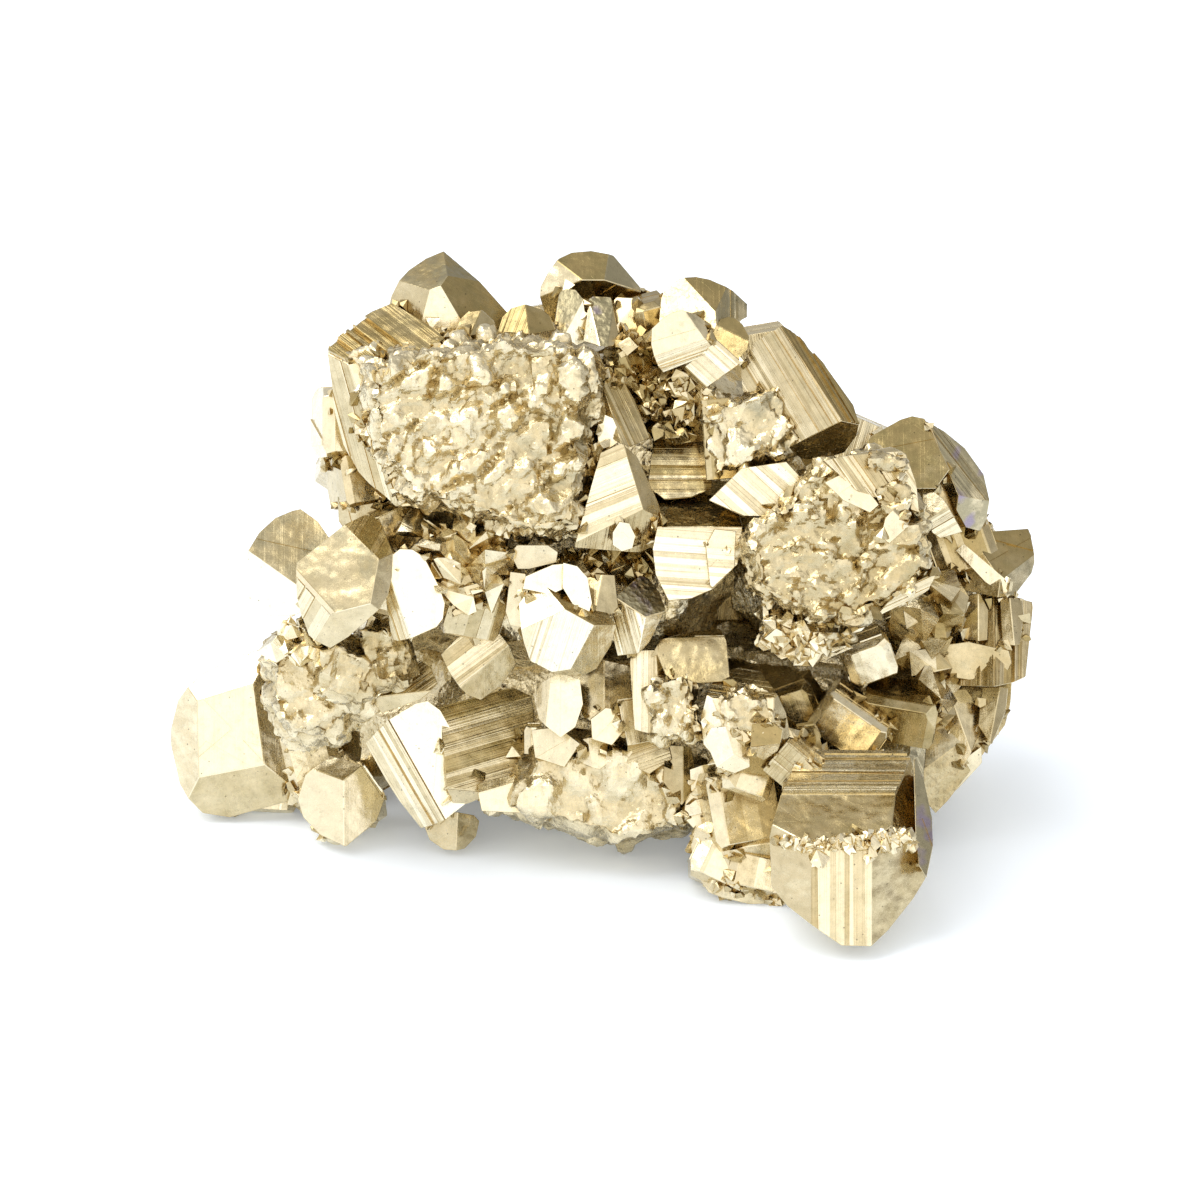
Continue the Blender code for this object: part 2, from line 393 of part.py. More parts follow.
# The cave on the right and the crystals on its floor.
cube((27.0, -5.7, 8), (5, 4.5, 5), (20, 20, 0), edge=0.4)
cube((25.3, -12.3, 7), (7.5, 5, 6), (-35, 20, 0), edge=0.4)
cube((30.0, -11.2, 9), (8, 5, 6), (-10, 30, 0), edge=0.4)
cube((19.8, -10.5, 9), (4, 4, 4), (20, 10, 0), edge=0.3)

# The big cube at the front right. Broad flats leave a narrow front face, its foot comes to a point, and
# a slanting ledge where its upper front edge broke off leads back to the striated band on top.
faceted([(16.8, -23.2), (17.2, -21.5), (19, -16.5), (20, -15), (30.5, -15.2), (31.2, -16), (33, -23),
         (32.9, -25), (32.2, -28), (30.5, -30.5), (28, -33.3), (26.8, -34.3), (23.8, -34.2), (22, -32.9),
         (19, -30.8), (17, -28.5)],
        [((20.8, -28, -11), (-0.5, -0.08)), ((24, -28, -10.9), (0.05, -0.08)),
         ((26.8, -28, -10.8), (0.75, -0.08)), ((24, -24, -11.2), (0, 0.9)), ((24, -19.7, -7.4), (0, 2)),
         ((31.1, -20, -7.4), (2.5, 0.3))], back=17, taper=0.1)

# The mass behind, where the crystals have grown into each other.
lump((0, 18, 13), 18, [(-20, 8), (-22, 20), (-12, 27), (12, 26), (20, 20), (22, 10)], seed=6, rough=0)
lump((0, 3, 15), 18, [(-24, -4), (-24, 6), (-12, 12), (14, 12), (14, 2), (10, -6), (-4, -8)], seed=7, rough=0)
lump((28, 2, 23), 14, [(14, 14), (28, 14), (37, 6), (38, -12), (30, -18), (16, -10), (12, 4)], seed=8,
     rough=0)
lump((10, -12, 21), 14, [(-26, -12), (-20, -4), (14, -2), (32, -6), (32, -17), (16, -22), (-8, -21),
                         (-24, -18)], seed=9, rough=0)
lump((31, 9, 18), 10, [(22, 12), (30, 14), (37, 10), (37, 2), (30, 0), (20, 4)], seed=10, rough=0)

# The crystals on the back: four uneven rows, each crystal with its own size and turn.
chance = random.Random(HIDDEN_SEED)
for up, back, rights in ((24, 17, (-17, -6, 5, 15)), (13, 24, (-22, -10, 1, 13, 23)),
                         (1, 30.15, (-19, -8, 4, 15, 27, 36)), (-14, 32, (-25, -14, -2, 10, 21, 31))):
    for right in rights:
        across = chance.uniform(8, 11.5)
        size = [across * chance.uniform(0.8, 1.1) for _ in range(3)]
        place = (right + chance.uniform(-1.5, 1.5), up + chance.uniform(-1.5, 1.5), back)
        turn = [chance.uniform(-40, 40) for _ in range(3)]
        cube(place, size, turn, edge=chance.choice((0.0, 0.8, 1.3)))

shells = bpy.data.meshes.new("crystal_shells")
crystals.to_mesh(shells)
crystals.free()

# One solid: the shells are united with a small block inside the mass, and the crystals it holds go.
seed_block = bpy.data.meshes.new("pyrite_cluster")
inside = block_of((6, 6, 6))
bmesh.ops.transform(inside, matrix=placing((0, 5, 15), (3, 4, 5)), verts=inside.verts)
inside.to_mesh(seed_block)
inside.free()
cluster = bpy.data.objects.new("pyrite_cluster", seed_block)
helper = bpy.data.objects.new("crystal_shells", shells)
helper.hide_render = True
helper.display_type = "WIRE"
for made in (cluster, helper):
    bpy.context.scene.collection.objects.link(made)
union = cluster.modifiers.new("grown together", "BOOLEAN")
union.operation = "UNION"
union.solver = "EXACT"
union.use_self = True
union.object = helper
bpy.context.view_layer.update()
united = bpy.data.meshes.new_from_object(cluster.evaluated_get(bpy.context.evaluated_depsgraph_get()))
cluster.modifiers.clear()
bpy.data.objects.remove(helper)

# The cluster is leant back, set on the ground and cut flat where its lowest crystals touch it.
body = bmesh.new()
body.from_mesh(united)
stand = Matrix.Rotation(math.radians(90 - LEAN), 4, "X")
shift = Matrix.Translation((-MIDDLE_RIGHT, -MIDDLE_BACK, -GROUND))
bmesh.ops.transform(body, matrix=Matrix.Scale(MM, 4) @ shift @ stand, verts=body.verts)


def islands(mesh):
    """The separate closed surfaces of a mesh, as lists of faces."""
    left = set(mesh.faces)
    while left:
        found = [left.pop()]
        for face in found:
            for edge in face.edges:
                for neighbour in edge.link_faces:
                    if neighbour in left:
                        left.remove(neighbour)
                        found.append(neighbour)
        yield found


surfaces = sorted(islands(body), key=len)
for closed_void in surfaces[:-1]:
    bmesh.ops.delete(body, geom=closed_void, context="FACES")
parts = body.verts[:] + body.edges[:] + body.faces[:]
ground = bmesh.ops.bisect_plane(body, geom=parts, plane_co=(0, 0, 0), plane_no=(0, 0, 1), dist=1e-7,
                                clear_inner=True)
rim = [part for part in ground["geom_cut"] if isinstance(part, bmesh.types.BMEdge)]
bmesh.ops.triangle_fill(body, use_beauty=True, use_dissolve=False, edges=rim, normal=(0, 0, -1))
loose = [point for point in body.verts if not point.link_faces]
bmesh.ops.delete(body, geom=loose, context="VERTS")
body.to_mesh(seed_block)
body.free()
bpy.data.meshes.remove(united)

PYRITE_COLOUR = (0.50, 0.39, 0.20, 1)
pyrite = bpy.data.materials.new("pyrite")
pyrite.use_nodes = True
surface = pyrite.node_tree.nodes["Principled BSDF"]
surface.inputs["Base Color"].default_value = PYRITE_COLOUR
surface.inputs["Metallic"].default_value = 1.0
surface.inputs["Roughness"].default_value = 0.32
cluster.data.materials.append(pyrite)
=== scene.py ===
"""The looks of a pyrite specimen: crystals and broken lumps grown together, standing on a pale floor."""

import bisect
import math
import random

import bmesh
import bpy
from mathutils import Matrix, Quaternion, Vector, noise
from mathutils.bvhtree import BVHTree


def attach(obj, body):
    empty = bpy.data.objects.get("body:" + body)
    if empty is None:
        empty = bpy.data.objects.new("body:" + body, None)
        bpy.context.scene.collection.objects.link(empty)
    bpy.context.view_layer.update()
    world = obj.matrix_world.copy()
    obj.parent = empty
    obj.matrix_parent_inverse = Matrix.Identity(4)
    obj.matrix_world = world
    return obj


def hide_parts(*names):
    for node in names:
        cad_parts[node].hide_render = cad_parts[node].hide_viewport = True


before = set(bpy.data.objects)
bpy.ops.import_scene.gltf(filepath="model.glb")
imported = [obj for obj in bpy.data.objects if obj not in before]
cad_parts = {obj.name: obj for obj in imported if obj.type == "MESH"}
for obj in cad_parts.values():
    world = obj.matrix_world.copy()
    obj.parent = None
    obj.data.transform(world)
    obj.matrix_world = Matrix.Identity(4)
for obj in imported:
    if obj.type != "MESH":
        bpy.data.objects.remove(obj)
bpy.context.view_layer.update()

# ---- The crown: small sharp crystals along the top edge ----
# Pyrite is iron sulphide, a brassy metal-bright mineral. Its crystals are cubes with cut edges, scored
# by fine growth lines; each one is set out face on in millimetres and leant back with the cluster.
MM = 0.001
LEAN = 22
GROUND = -29.6
MIDDLE_RIGHT, MIDDLE_BACK = 0.1, 7.15
EDGE_WEAR = 0.07
STRIPES = (0, 0.25, -0.1, 0.38, 0.05, 0.2, -0.1, 0.42)   # how much more tarnished each strip is than its flat

crystals = []
chance = random.Random(3)


def standing(at, turn):
    """From a crystal's own axes in millimetres to where it stands, in metres."""
    spin, tip, swing = (math.radians(angle) for angle in turn)
    turned = Matrix.Rotation(spin, 4, "Z") @ Matrix.Rotation(swing, 4, "Y") @ Matrix.Rotation(tip, 4, "X")
    leant = Matrix.Rotation(math.radians(90 - LEAN), 4, "X") @ Matrix.Translation((at[0], at[1], -at[2]))
    shift = Matrix.Translation((-MIDDLE_RIGHT, -MIDDLE_BACK, -GROUND))
    return Matrix.Scale(MM, 4) @ shift @ leant @ turned


def start_block(low, high):
    """A block in edit mode, between two corners."""
    bpy.ops.object.select_all(action="DESELECT")
    bpy.ops.mesh.primitive_cube_add(size=1, location=(0, 0, 0))
    bpy.ops.object.mode_set(mode="EDIT")
    bpy.ops.mesh.select_mode(type="FACE")
    bpy.ops.mesh.select_all(action="SELECT")
    bpy.ops.transform.resize(value=[b - a for a, b in zip(low, high)], center_override=(0, 0, 0))
    bpy.ops.transform.translate(value=[(a + b) / 2 for a, b in zip(low, high)])
    return bpy.context.object


def slice_off(point, normal):
    bpy.ops.mesh.select_all(action="SELECT")
    bpy.ops.mesh.bisect(plane_co=point, plane_no=Vector(normal).normalized(), use_fill=True, clear_outer=True,
                        threshold=1e-4)


def cut_flat(normal, reach):
    direction = Vector(normal).normalized()
    slice_off(direction * reach, direction)


def pyrite_normals():
    """The twelve face directions of a pyritohedron."""
    for first in range(3):
        second = (first + 1) % 3
        for long_side in (2, -2):
            for short_side in (1, -1):
                normal = [0, 0, 0]
                normal[first], normal[second] = long_side, short_side
                yield Vector(normal).normalized()


def corner_reach(normal, size):
    return sum(abs(n) * side / 2 for n, side in zip(normal, size))


def pick(wanted):
    """Selects the faces that pass a test; true if there are any."""
    bpy.ops.mesh.select_all(action="DESELECT")
    mesh = bmesh.from_edit_mesh(bpy.context.object.data)
    found = [face for face in mesh.faces if wanted(face)]
    for face in found:
        face.select_set(True)
    return bool(found)


def wear_edges():
    bpy.ops.mesh.select_all(action="SELECT")
    bpy.ops.mesh.remove_doubles(threshold=0.02)
    bpy.ops.mesh.select_all(action="SELECT")
    bpy.ops.mesh.bevel(offset=EDGE_WEAR, segments=1, affect="EDGES", clamp_overlap=True)


def growth_lines(facing, across, lines, rise, lean=1.0):
    """Scores a face at uneven places across it and raises some of the strips between the cuts.

    Returns where the cuts lie across it.
    """
    def on_face(face):
        return face.normal.dot(facing) > 0.9995

    mesh = bmesh.from_edit_mesh(bpy.context.object.data)
    corners = [vert.co.copy() for face in mesh.faces if on_face(face) for vert in face.verts]
    if not corners:
        return []
    middle = sum(corners, Vector()) / len(corners)
    low, high = min(co.dot(across) for co in corners), max(co.dot(across) for co in corners)
    places = sorted(chance.uniform(0.03, 0.97) for _ in range(lines)) if isinstance(lines, int) else lines
    cuts = [low + (high - low) * place for place in places]
    for cut in cuts:
        normal = Matrix.Rotation(math.radians(chance.uniform(-lean, lean)), 3, facing) @ across
        if pick(on_face):
            bpy.ops.mesh.bisect(plane_co=middle + across * (cut - middle.dot(across)), plane_no=normal,
                                threshold=1e-4)
    bounds = [low] + cuts + [high]
    levels = {0.4: [], 1.0: []}
    for start, end in zip(bounds, bounds[1:]):
        level = chance.choice((0.0, 0.4, 1.0))
        if level:
            levels[level].append((start, end))
    for level, strips in levels.items():
        def in_strip(face):
            centre = face.calc_center_median().dot(across)
            return on_face(face) and any(start < centre < end for start, end in strips)
        if pick(in_strip):
            bpy.ops.mesh.extrude_region_move(TRANSFORM_OT_translate={"value": facing * rise * level})
    return cuts


def growth_steps(facings, count, rise):
    """Irregular growth steps: splits a face along slanting lines and raises the part on one side of them."""
    for _ in range(count):
        facing = chance.choice(facings)

        def on_face(face):
            return face.normal.dot(facing) > 0.9995

        mesh = bmesh.from_edit_mesh(bpy.context.object.data)
        middles = [face.calc_center_median() for face in mesh.faces if on_face(face) and face.calc_area() > 1]
        if not middles:
            continue
        point = chance.choice(middles)
        for turned in (chance.uniform(0, 180), chance.uniform(0, 180)):
            normal = Matrix.Rotation(math.radians(turned), 3, facing) @ facing.orthogonal()
            if pick(on_face):
                bpy.ops.mesh.bisect(plane_co=point, plane_no=normal, threshold=1e-4)
            point = point + normal * chance.uniform(-1.2, 1.2)
        if pick(lambda face: on_face(face) and (face.calc_center_median() - point).dot(normal) > 0):
            bpy.ops.mesh.extrude_region_move(
                TRANSFORM_OT_translate={"value": facing * rise * chance.uniform(0.5, 1)})


def set_in_place(piece, at=(0, 0, 0), turn=(0, 0, 0)):
    """Numbers a finished crystal or lump, stands it in place and keeps it."""
    number = piece.data.attributes.new("number", "INT", "FACE")
    number.data.foreach_set("value", [len(crystals)] * len(piece.data.polygons))
    piece.matrix_world = standing(at, turn)
    bpy.ops.object.select_all(action="DESELECT")
    piece.select_set(True)
    bpy.context.view_layer.objects.active = piece
    bpy.ops.object.transform_apply(location=True, rotation=True, scale=True)
    crystals.append(piece)


def write_finish(mesh, finish_of):
    """Writes where each face corner lies along its growth lines, and its finish.

    finish_of gives, for a face, the directions across and along its lines and its finish: the strength of
    the lines, how tarnished it is with painted highlight and shade mixed in, how broken and how grey-green.
    """
    while mesh.uv_layers:
        mesh.uv_layers.remove(mesh.uv_layers[0])
    mesh.uv_layers.new(name="grain")
    mesh.attributes.new("finish", "FLOAT_COLOR", "CORNER")
    grain, finish = mesh.uv_layers["grain"], mesh.attributes["finish"]
    start = Vector((chance.uniform(0, 90), chance.uniform(0, 90)))
    for face in mesh.polygons:
        across, along, looks = finish_of(face)
        for corner in face.loop_indices:
            place = mesh.vertices[mesh.loops[corner].vertex_index].co
            grain.uv[corner].vector = start + Vector((place.dot(across), place.dot(along)))
            finish.data[corner].color = looks


def uneven_finish(lined, tone, broken, green):
    """One face's finish, a little off the crystal's own."""
    return (lined * chance.uniform(0.7, 1.0), min(1, max(0, tone + chance.uniform(-0.1, 0.1))), broken,
            min(1, max(0, green + chance.uniform(-0.1, 0.1))))


def flat(x, y, depth, right, up, tone=0.3, green=0.1, lined=0.3, along=90, lines=0, rise=0.1, broken=0.0):
    """One flat of a faceted crystal: a point on it, how much deeper it gets per millimetre to the right
    and upwards, and its finish. along is the way its growth lines run, face on, in degrees."""
    # Painted light: tone is tarnish, but forward-facing flats are mostly set palest, as painted highlight, and
    # upward-facing flats darkest, as painted shade.
    facing = Vector((right, up, 1)).normalized()
    way = Vector((math.cos(math.radians(along)), math.sin(math.radians(along)), 0))
    way.z = -right * way.x - up * way.y
    way.normalize()
    return {"point": (x, y, depth), "slope": (right, up), "facing": facing, "along": way,
            "across": facing.cross(way), "lines": lines, "rise": rise, "cuts": [],
            "finish": uneven_finish(max(lined, 0.9 if lines else 0), tone, broken, green)}


def faceted(outline, flats, back, taper=0.25, tone=0.5, steps=1):
    """An uneven crystal, from its outline seen face on, clockwise, and the flats inside that outline.

    back is the depth of its hidden end, and taper how far its sides draw in per millimetre towards it.
    """
    def depth_at(x, y):
        return max(part["point"][2] + part["slope"][0] * (x - part["point"][0])
                   + part["slope"][1] * (y - part["point"][1]) for part in flats)

    clear = 10
    front = clear - min(depth_at(x, y) for x, y in outline)
    low = [min(corner[axis] for corner in outline) - clear for axis in (0, 1)]
    high = [max(corner[axis] for corner in outline) + clear for axis in (0, 1)]
    block = start_block((*low, -back), (*high, front))
    for part in flats:
        x, y, depth = part["point"]
        slice_off((x, y, -depth), part["facing"])
    for (x, y), (next_x, next_y) in zip(outline, outline[1:] + outline[:1]):
        length = math.hypot(next_x - x, next_y - y)
        depth = depth_at((x + next_x) / 2, (y + next_y) / 2)
        slice_off((x, y, -depth), (y - next_y, next_x - x, -taper * length))
    wear_edges()
    growth_steps([part["facing"] for part in flats], steps, 0.12)
    for part in flats:
        if part["lines"]:
            part["cuts"] = growth_lines(part["facing"], part["across"], part["lines"], part["rise"])
    bpy.ops.object.mode_set(mode="OBJECT")

    def finish_of(face):
        part = max(flats, key=lambda one: one["facing"].dot(face.normal))
        if part["facing"].dot(face.normal) > 0.9:
            strip = bisect.bisect(part["cuts"], face.center.dot(part["across"])) if part["cuts"] else 0
            lined, own, dull, green = part["finish"]
            return part["across"], part["along"], (lined, min(1, max(0, own + STRIPES[strip % 8])), dull, green)
        side = face.normal.orthogonal()
        return side, side.cross(face.normal), (0.3, tone, 0.0, 0.1)

    write_finish(block.data, finish_of)
    set_in_place(block)


def crystal(at, size, turn, edge=0.0, corner=0.0, lines=None, tone=0.3, green=0.15, across_turn=1, steps=2,
            uneven=3):
    """A plain crystal: a block with cut edges and corners, worn edges and growth lines.

    lines maps a face to (axis across the lines, number or places of the lines, rise in mm).
    """
    block = start_block([-side / 2 for side in size], [side / 2 for side in size])
    for normal in pyrite_normals() if edge else ():
        cut_flat(normal, corner_reach(normal, size) - edge)
    if corner:
        for x in (1, -1):
            for y in (1, -1):
                for z in (1, -1):
                    normal = Vector((x, y, z)).normalized()
                    cut_flat(normal, corner_reach(normal, size) - corner)
    for _ in range(uneven):
        normal = Vector([chance.choice((-1, 1)) * chance.uniform(0.35, 1) for _ in range(3)]).normalized()
        cut_flat(normal, corner_reach(normal, size) - min(size) * chance.uniform(0.06, 0.16) - edge * 0.8)
    wear_edges()
    axes = {"x": Vector((1, 0, 0)), "y": Vector((0, 1, 0)), "z": Vector((0, 0, 1))}
    growth_steps(list(axes.values()) + [-axes["x"]], steps, 0.16)
    lined = 0.3 if lines is None else 0.95
    if lines is None:
        lines = {"xyz"[axis]: ("xyz"[(axis + across_turn) % 3], chance.randint(2, 4), 0.07) for axis in range(3)}
    cuts = {}
    for face_name, (across, count, rise) in lines.items():
        facing = axes[face_name[-1]] * (-1 if face_name[0] == "-" else 1)
        cuts["xyz".index(face_name[-1]), face_name[0] != "-"] = growth_lines(facing, axes[across], count, rise)
    bpy.ops.object.mode_set(mode="OBJECT")
    own = {}

    def finish_of(face):
        axis = max(range(3), key=lambda n: abs(face.normal[n]))
        side = (axis, face.normal[axis] > 0)
        if side not in own:
            own[side] = uneven_finish(lined, tone + chance.uniform(-0.1, 0.1), 0.0, green)
        across = (axis + across_turn) % 3
        strength, own_tone, dull, patches = own[side]
        if abs(face.normal[axis]) > 0.9 and side in cuts:
            own_tone += STRIPES[bisect.bisect(cuts[side], face.center[across]) % 8] * 0.7
        return (axes["xyz"[across]], axes["xyz"[3 - axis - across]],
                (strength, min(1, max(0, own_tone)), dull, patches))

    write_finish(block.data, finish_of)
    set_in_place(block, at, turn)


def add_chip(shell, chooser, place, size, corners=14):
    """An irregular flat-sided chip: the hull of a few points around a place."""
    points = []
    for _ in range(corners):
        corner = Vector([chooser.gauss(0, 1) for _ in range(3)]).normalized()
        points.append(shell.verts.new(place @ Vector([max(-0.6, min(0.6, part)) * size for part in corner])))
    hull = bmesh.ops.convex_hull(shell, input=points)
    inner = [part for part in hull["geom_interior"] + hull["geom_unused"] if isinstance(part, bmesh.types.BMVert)]
    bmesh.ops.delete(shell, geom=list(set(inner)), context="VERTS")


def rubble(outline, depth, count, size, tone=0.6, seed=1):
    """Small rough crystals scattered over an area seen face on, at this depth."""
    pick_chip = random.Random(seed)
    middle = Vector((sum(x for x, y in outline), sum(y for x, y in outline))) / len(outline)
    shell = bmesh.new()
    for _ in range(count):
        start = pick_chip.randrange(len(outline))
        rim = Vector(outline[start]).lerp(Vector(outline[(start + 1) % len(outline)]), pick_chip.random())
        spot = middle.lerp(rim, math.sqrt(pick_chip.random()))
        sides = [size * pick_chip.uniform(0.5, 1.2) for _ in range(3)]
        turned = Quaternion([pick_chip.gauss(0, 1) for _ in range(4)]).normalized().to_matrix().to_4x4()
        place = Matrix.Translation((spot.x, spot.y, -depth - pick_chip.uniform(-0.5, 0.5) * size))
        add_chip(shell, pick_chip, place @ turned @ Matrix.Diagonal((*sides, 1)), 1.2)
    bmesh.ops.recalc_face_normals(shell, faces=shell.faces)
    bpy.ops.object.select_all(action="DESELECT")
    bpy.ops.mesh.primitive_cube_add(size=1, location=(0, 0, 0))
    chips = bpy.context.object
    shell.to_mesh(chips.data)
    shell.free()

    def finish_of(face):
        side = face.normal.orthogonal()
        return side, side.cross(face.normal), uneven_finish(0.4, tone + pick_chip.uniform(-0.3, 0.3), 0.1, 0.2)

    write_finish(chips.data, finish_of)
    set_in_place(chips)


faceted([(-21.4, 27), (-21.3, 29.3), (-20.8, 31), (-19.8, 32.6), (-18, 34.1), (-15.7, 35.1), (-14.8, 34.5),
         (-10, 30), (-9, 28.4), (-10, 26.5), (-16, 25.5)],
        [flat(-15.5, 32.3, 1.5, -0.5, 1.3, tone=0.8, green=0.6, broken=0.5),
         flat(-15.3, 32.0, 1.4, 0.9, 0.35, tone=1, green=0.3, along=-30, lined=0.6),
         flat(-15.1, 32.3, 1.5, 1.1, 1.6, tone=1, green=0.6, broken=0.6),
         flat(-16, 29.5, 0.9, 0.05, -0.15, tone=0), flat(-17.6, 30, 1.0, -0.9, 0.1, tone=0.55, broken=0.3)],
        back=9, steps=0)
faceted([(-14.5, 26.5), (-14.2, 27.8), (-13.2, 28.9), (-11.8, 29), (-10.6, 28), (-10, 26.5)],
        [flat(-12.5, 28, 0, -0.3, 0.8, tone=0.9), flat(-12.2, 28, 0, 0.7, 0.4, tone=0.8)], back=6)
faceted([(-10.2, 26.5), (-10, 28), (-9, 29.2), (-7.5, 29.6), (-6, 29.3), (-4.8, 28.3), (-4.4, 26.6)],
        [flat(-7.5, 28.6, 0.8, -0.3, 0.7, tone=0.9, along=70, lines=5), flat(-7.2, 28.6, 0.8, 0.5, 0.8, tone=1)],
        back=8)
faceted([(-6, 29), (-6, 31.5), (-5.2, 33), (-4.3, 34.2), (-3.2, 34.9), (-1, 35.2), (1.5, 34.7), (3, 32.8),
         (4, 31.5), (4, 29.5), (0, 28), (-5, 28)],
        [flat(-2, 32.3, 4, -0.45, 0.2, tone=0.4), flat(-2, 32.3, 4, 0.1, 0.9, tone=1, broken=0.2),
         flat(0.2, 32.5, 4.2, 0.7, 0.8, tone=0.7, green=0.6, broken=0.4),
         flat(-2, 32, 4, 0.1, -1.2, tone=1)], back=12)
faceted([(-4.5, 27), (-4.4, 30), (-4, 31), (-3.2, 31.3), (-2.2, 31), (-1.7, 30), (-1, 26), (-2.5, 25.5)],
        [flat(-2, 29.5, 2.2, -0.6, 0.5, tone=0.9, green=0.7, broken=0.5), flat(-2, 29.5, 2.2, 0.35, 0, tone=0)],
        back=9, steps=0)
faceted([(-1.5, 25.5), (-1.4, 30), (-0.8, 30.5), (1.2, 30.4), (1.6, 29), (1.8, 26), (1.2, 25.3)],
        [flat(0, 28, 1.4, 0.05, 0.7, tone=0.9, green=0.7, broken=0.6), flat(-0.7, 28, 1.4, -0.8, 0.5, tone=0.2),
         flat(1.2, 28, 1.5, 0.7, 0.6, tone=0.7)], back=8, steps=0)
faceted([(1.2, 27), (1.2, 30), (1.8, 30.5), (3.4, 30.2), (4, 29), (4.3, 26.6), (3, 26.2), (1.6, 26.4)],
        [flat(3.3, 29.5, 2.4, -0.4, 0.5, tone=0.5), flat(3.3, 29.5, 2.4, 0.35, -0.09, tone=0)], back=9, steps=0)
crystal((5.0, 28.5, 5), (4, 4, 5), (15, 20, 10), edge=0.4, tone=0.8)
faceted([(6, 27.5), (6, 29.8), (6.4, 31), (7.2, 31.8), (8, 32.2), (9.7, 32.4), (11.2, 32.1), (13, 31.2),
         (14.2, 30.3), (14.9, 29.6), (14.6, 27.6), (10, 26.5)],
        [flat(9.6, 31, 1.8, -0.35, 0.4, tone=0.6, green=0.3, broken=0.5), flat(9.6, 31, 1.8, 0.15, 0.85, tone=1, lined=0.6),
         flat(12.2, 30.3, 1.6, 0.9, 0.5, tone=0.6, green=0.6, broken=0.3, lines=6)], back=9, steps=2)
faceted([(5.1, 25.3), (5.1, 27), (6, 27.9), (7, 28.6), (8, 28.9), (9.3, 28.7), (10.5, 27.9), (10.9, 26.5),
         (11.2, 25), (10.2, 24.2), (6.2, 22.7), (5.5, 23.8)],
        [flat(8, 25.25, -2.5, 0.05, 0.12, tone=0.25, green=0.35, broken=0.3),
         flat(8, 25.25, -2.5, 0.25, -0.46, tone=0.2, along=20, lines=6, rise=0.12),
         flat(9.5, 27.5, -2.1, 0.6, 0.5, tone=0.5, green=0.6)], back=4, steps=2)
faceted([(11.2, 26.5), (11.8, 28), (12.8, 28.4), (13.8, 28.1), (14.6, 27.2), (15, 26), (14.6, 24.8), (13.8, 24),
         (12.8, 24.7), (11.7, 25.7)],
        [flat(13, 26.8, -0.8, 0.1, 0.8, tone=1), flat(13, 26.8, -0.8, -0.1, 0.4, tone=0.9)], back=4, steps=0)
faceted([(7.9, 23), (8.6, 23.6), (11.8, 25.9), (14.1, 23.8), (10.6, 21), (10, 20.6)],
        [flat(11, 23.5, -1.6, -0.15, -0.15, tone=0.1, along=-42, lines=7, rise=0.1),
         flat(8.6, 23.2, -1.2, -0.67, -0.7, tone=0.7, along=-42, lines=4)], back=3, steps=0)

# ---- The nook under the crown ----
# A hollow packed with small rough crystals that had no room to grow.
crystal((3.2, 24.0, 2.5), (4, 4, 4), (30, 20, 20), edge=0.3, tone=0.9)
crystal((5.5, 20.5, 2.5), (4, 4.5, 4), (-20, 20, -20), edge=0.3, tone=0.9)
crystal((8.0, 20.5, 3), (4, 4, 4), (15, 30, 0), edge=0.3, tone=0.8)
crystal((8.5, 17.5, 4), (5, 4, 4), (35, 10, 0), edge=0.3, tone=0.9)
rubble([(0.5, 22.5), (2, 26), (5, 26), (6, 23), (9, 20.5), (11, 19), (9.5, 16), (5, 17)], 1, 70, 1.4, tone=0.8)
rubble([(6, 22), (8, 22.5), (10, 20.5), (11.5, 20), (11, 17.5), (7, 18)], -0.2, 26, 1.1, tone=0.6, seed=2)

# ---- The striated prism on the right shoulder ----
# A long crystal with deep growth lines down its length and a broken end, beside a shattered saddle.
faceted([(14.2, 21), (14.2, 23.7), (15.7, 26), (18.2, 27.3), (19.3, 26.8), (22.8, 23), (25.5, 19),
         (25.8, 17.2), (25, 15), (22.2, 14), (19.5, 14.2), (16, 17)],
        [flat(18.2, 27, -1.8, -0.35, -0.05, tone=0.35, along=-59, rise=0.3,
              lines=(0.06, 0.12, 0.15, 0.28, 0.31, 0.36, 0.4, 0.46, 0.52, 0.66, 0.7, 0.86, 0.9, 0.97)),
         flat(18.2, 27, -1.8, 0.8, 0.69, tone=0.9, along=-59, lines=9, rise=0.2),
         flat(20.4, 16, -2, 0.36, -1.5, tone=1, broken=1)], back=7, steps=0)
crystal((21.8, 17.6, 5), (5, 6, 5), (31, 0, -20), tone=0.8)
crystal((12.0, 16.3, 1.5), (4.5, 8, 6), (5, 5, 10), tone=0.6)
faceted([(5, 16), (10, 16.8), (11.2, 15), (11, 11), (9, 10.2), (6.5, 10), (5, 11)],
        [flat(8, 13.3, 1, 0, 0.5, tone=0.6, green=0.2, along=0, rise=0.3, lines=(0.1, 0.3, 0.36, 0.5, 0.62, 0.8))],
        back=8, steps=0)
faceted([(10.9, 9.9), (13.8, 13), (18.5, 13.9), (20.3, 12), (19.5, 10), (18.3, 8.2), (14, 8.4)],
        [flat(15, 11, -4, 0.15, 0.1, tone=0.05, green=0, along=-42, rise=0.25,
              lines=(0.1, 0.18, 0.27, 0.4, 0.5, 0.62, 0.7, 0.8, 0.92))], back=4, steps=0)

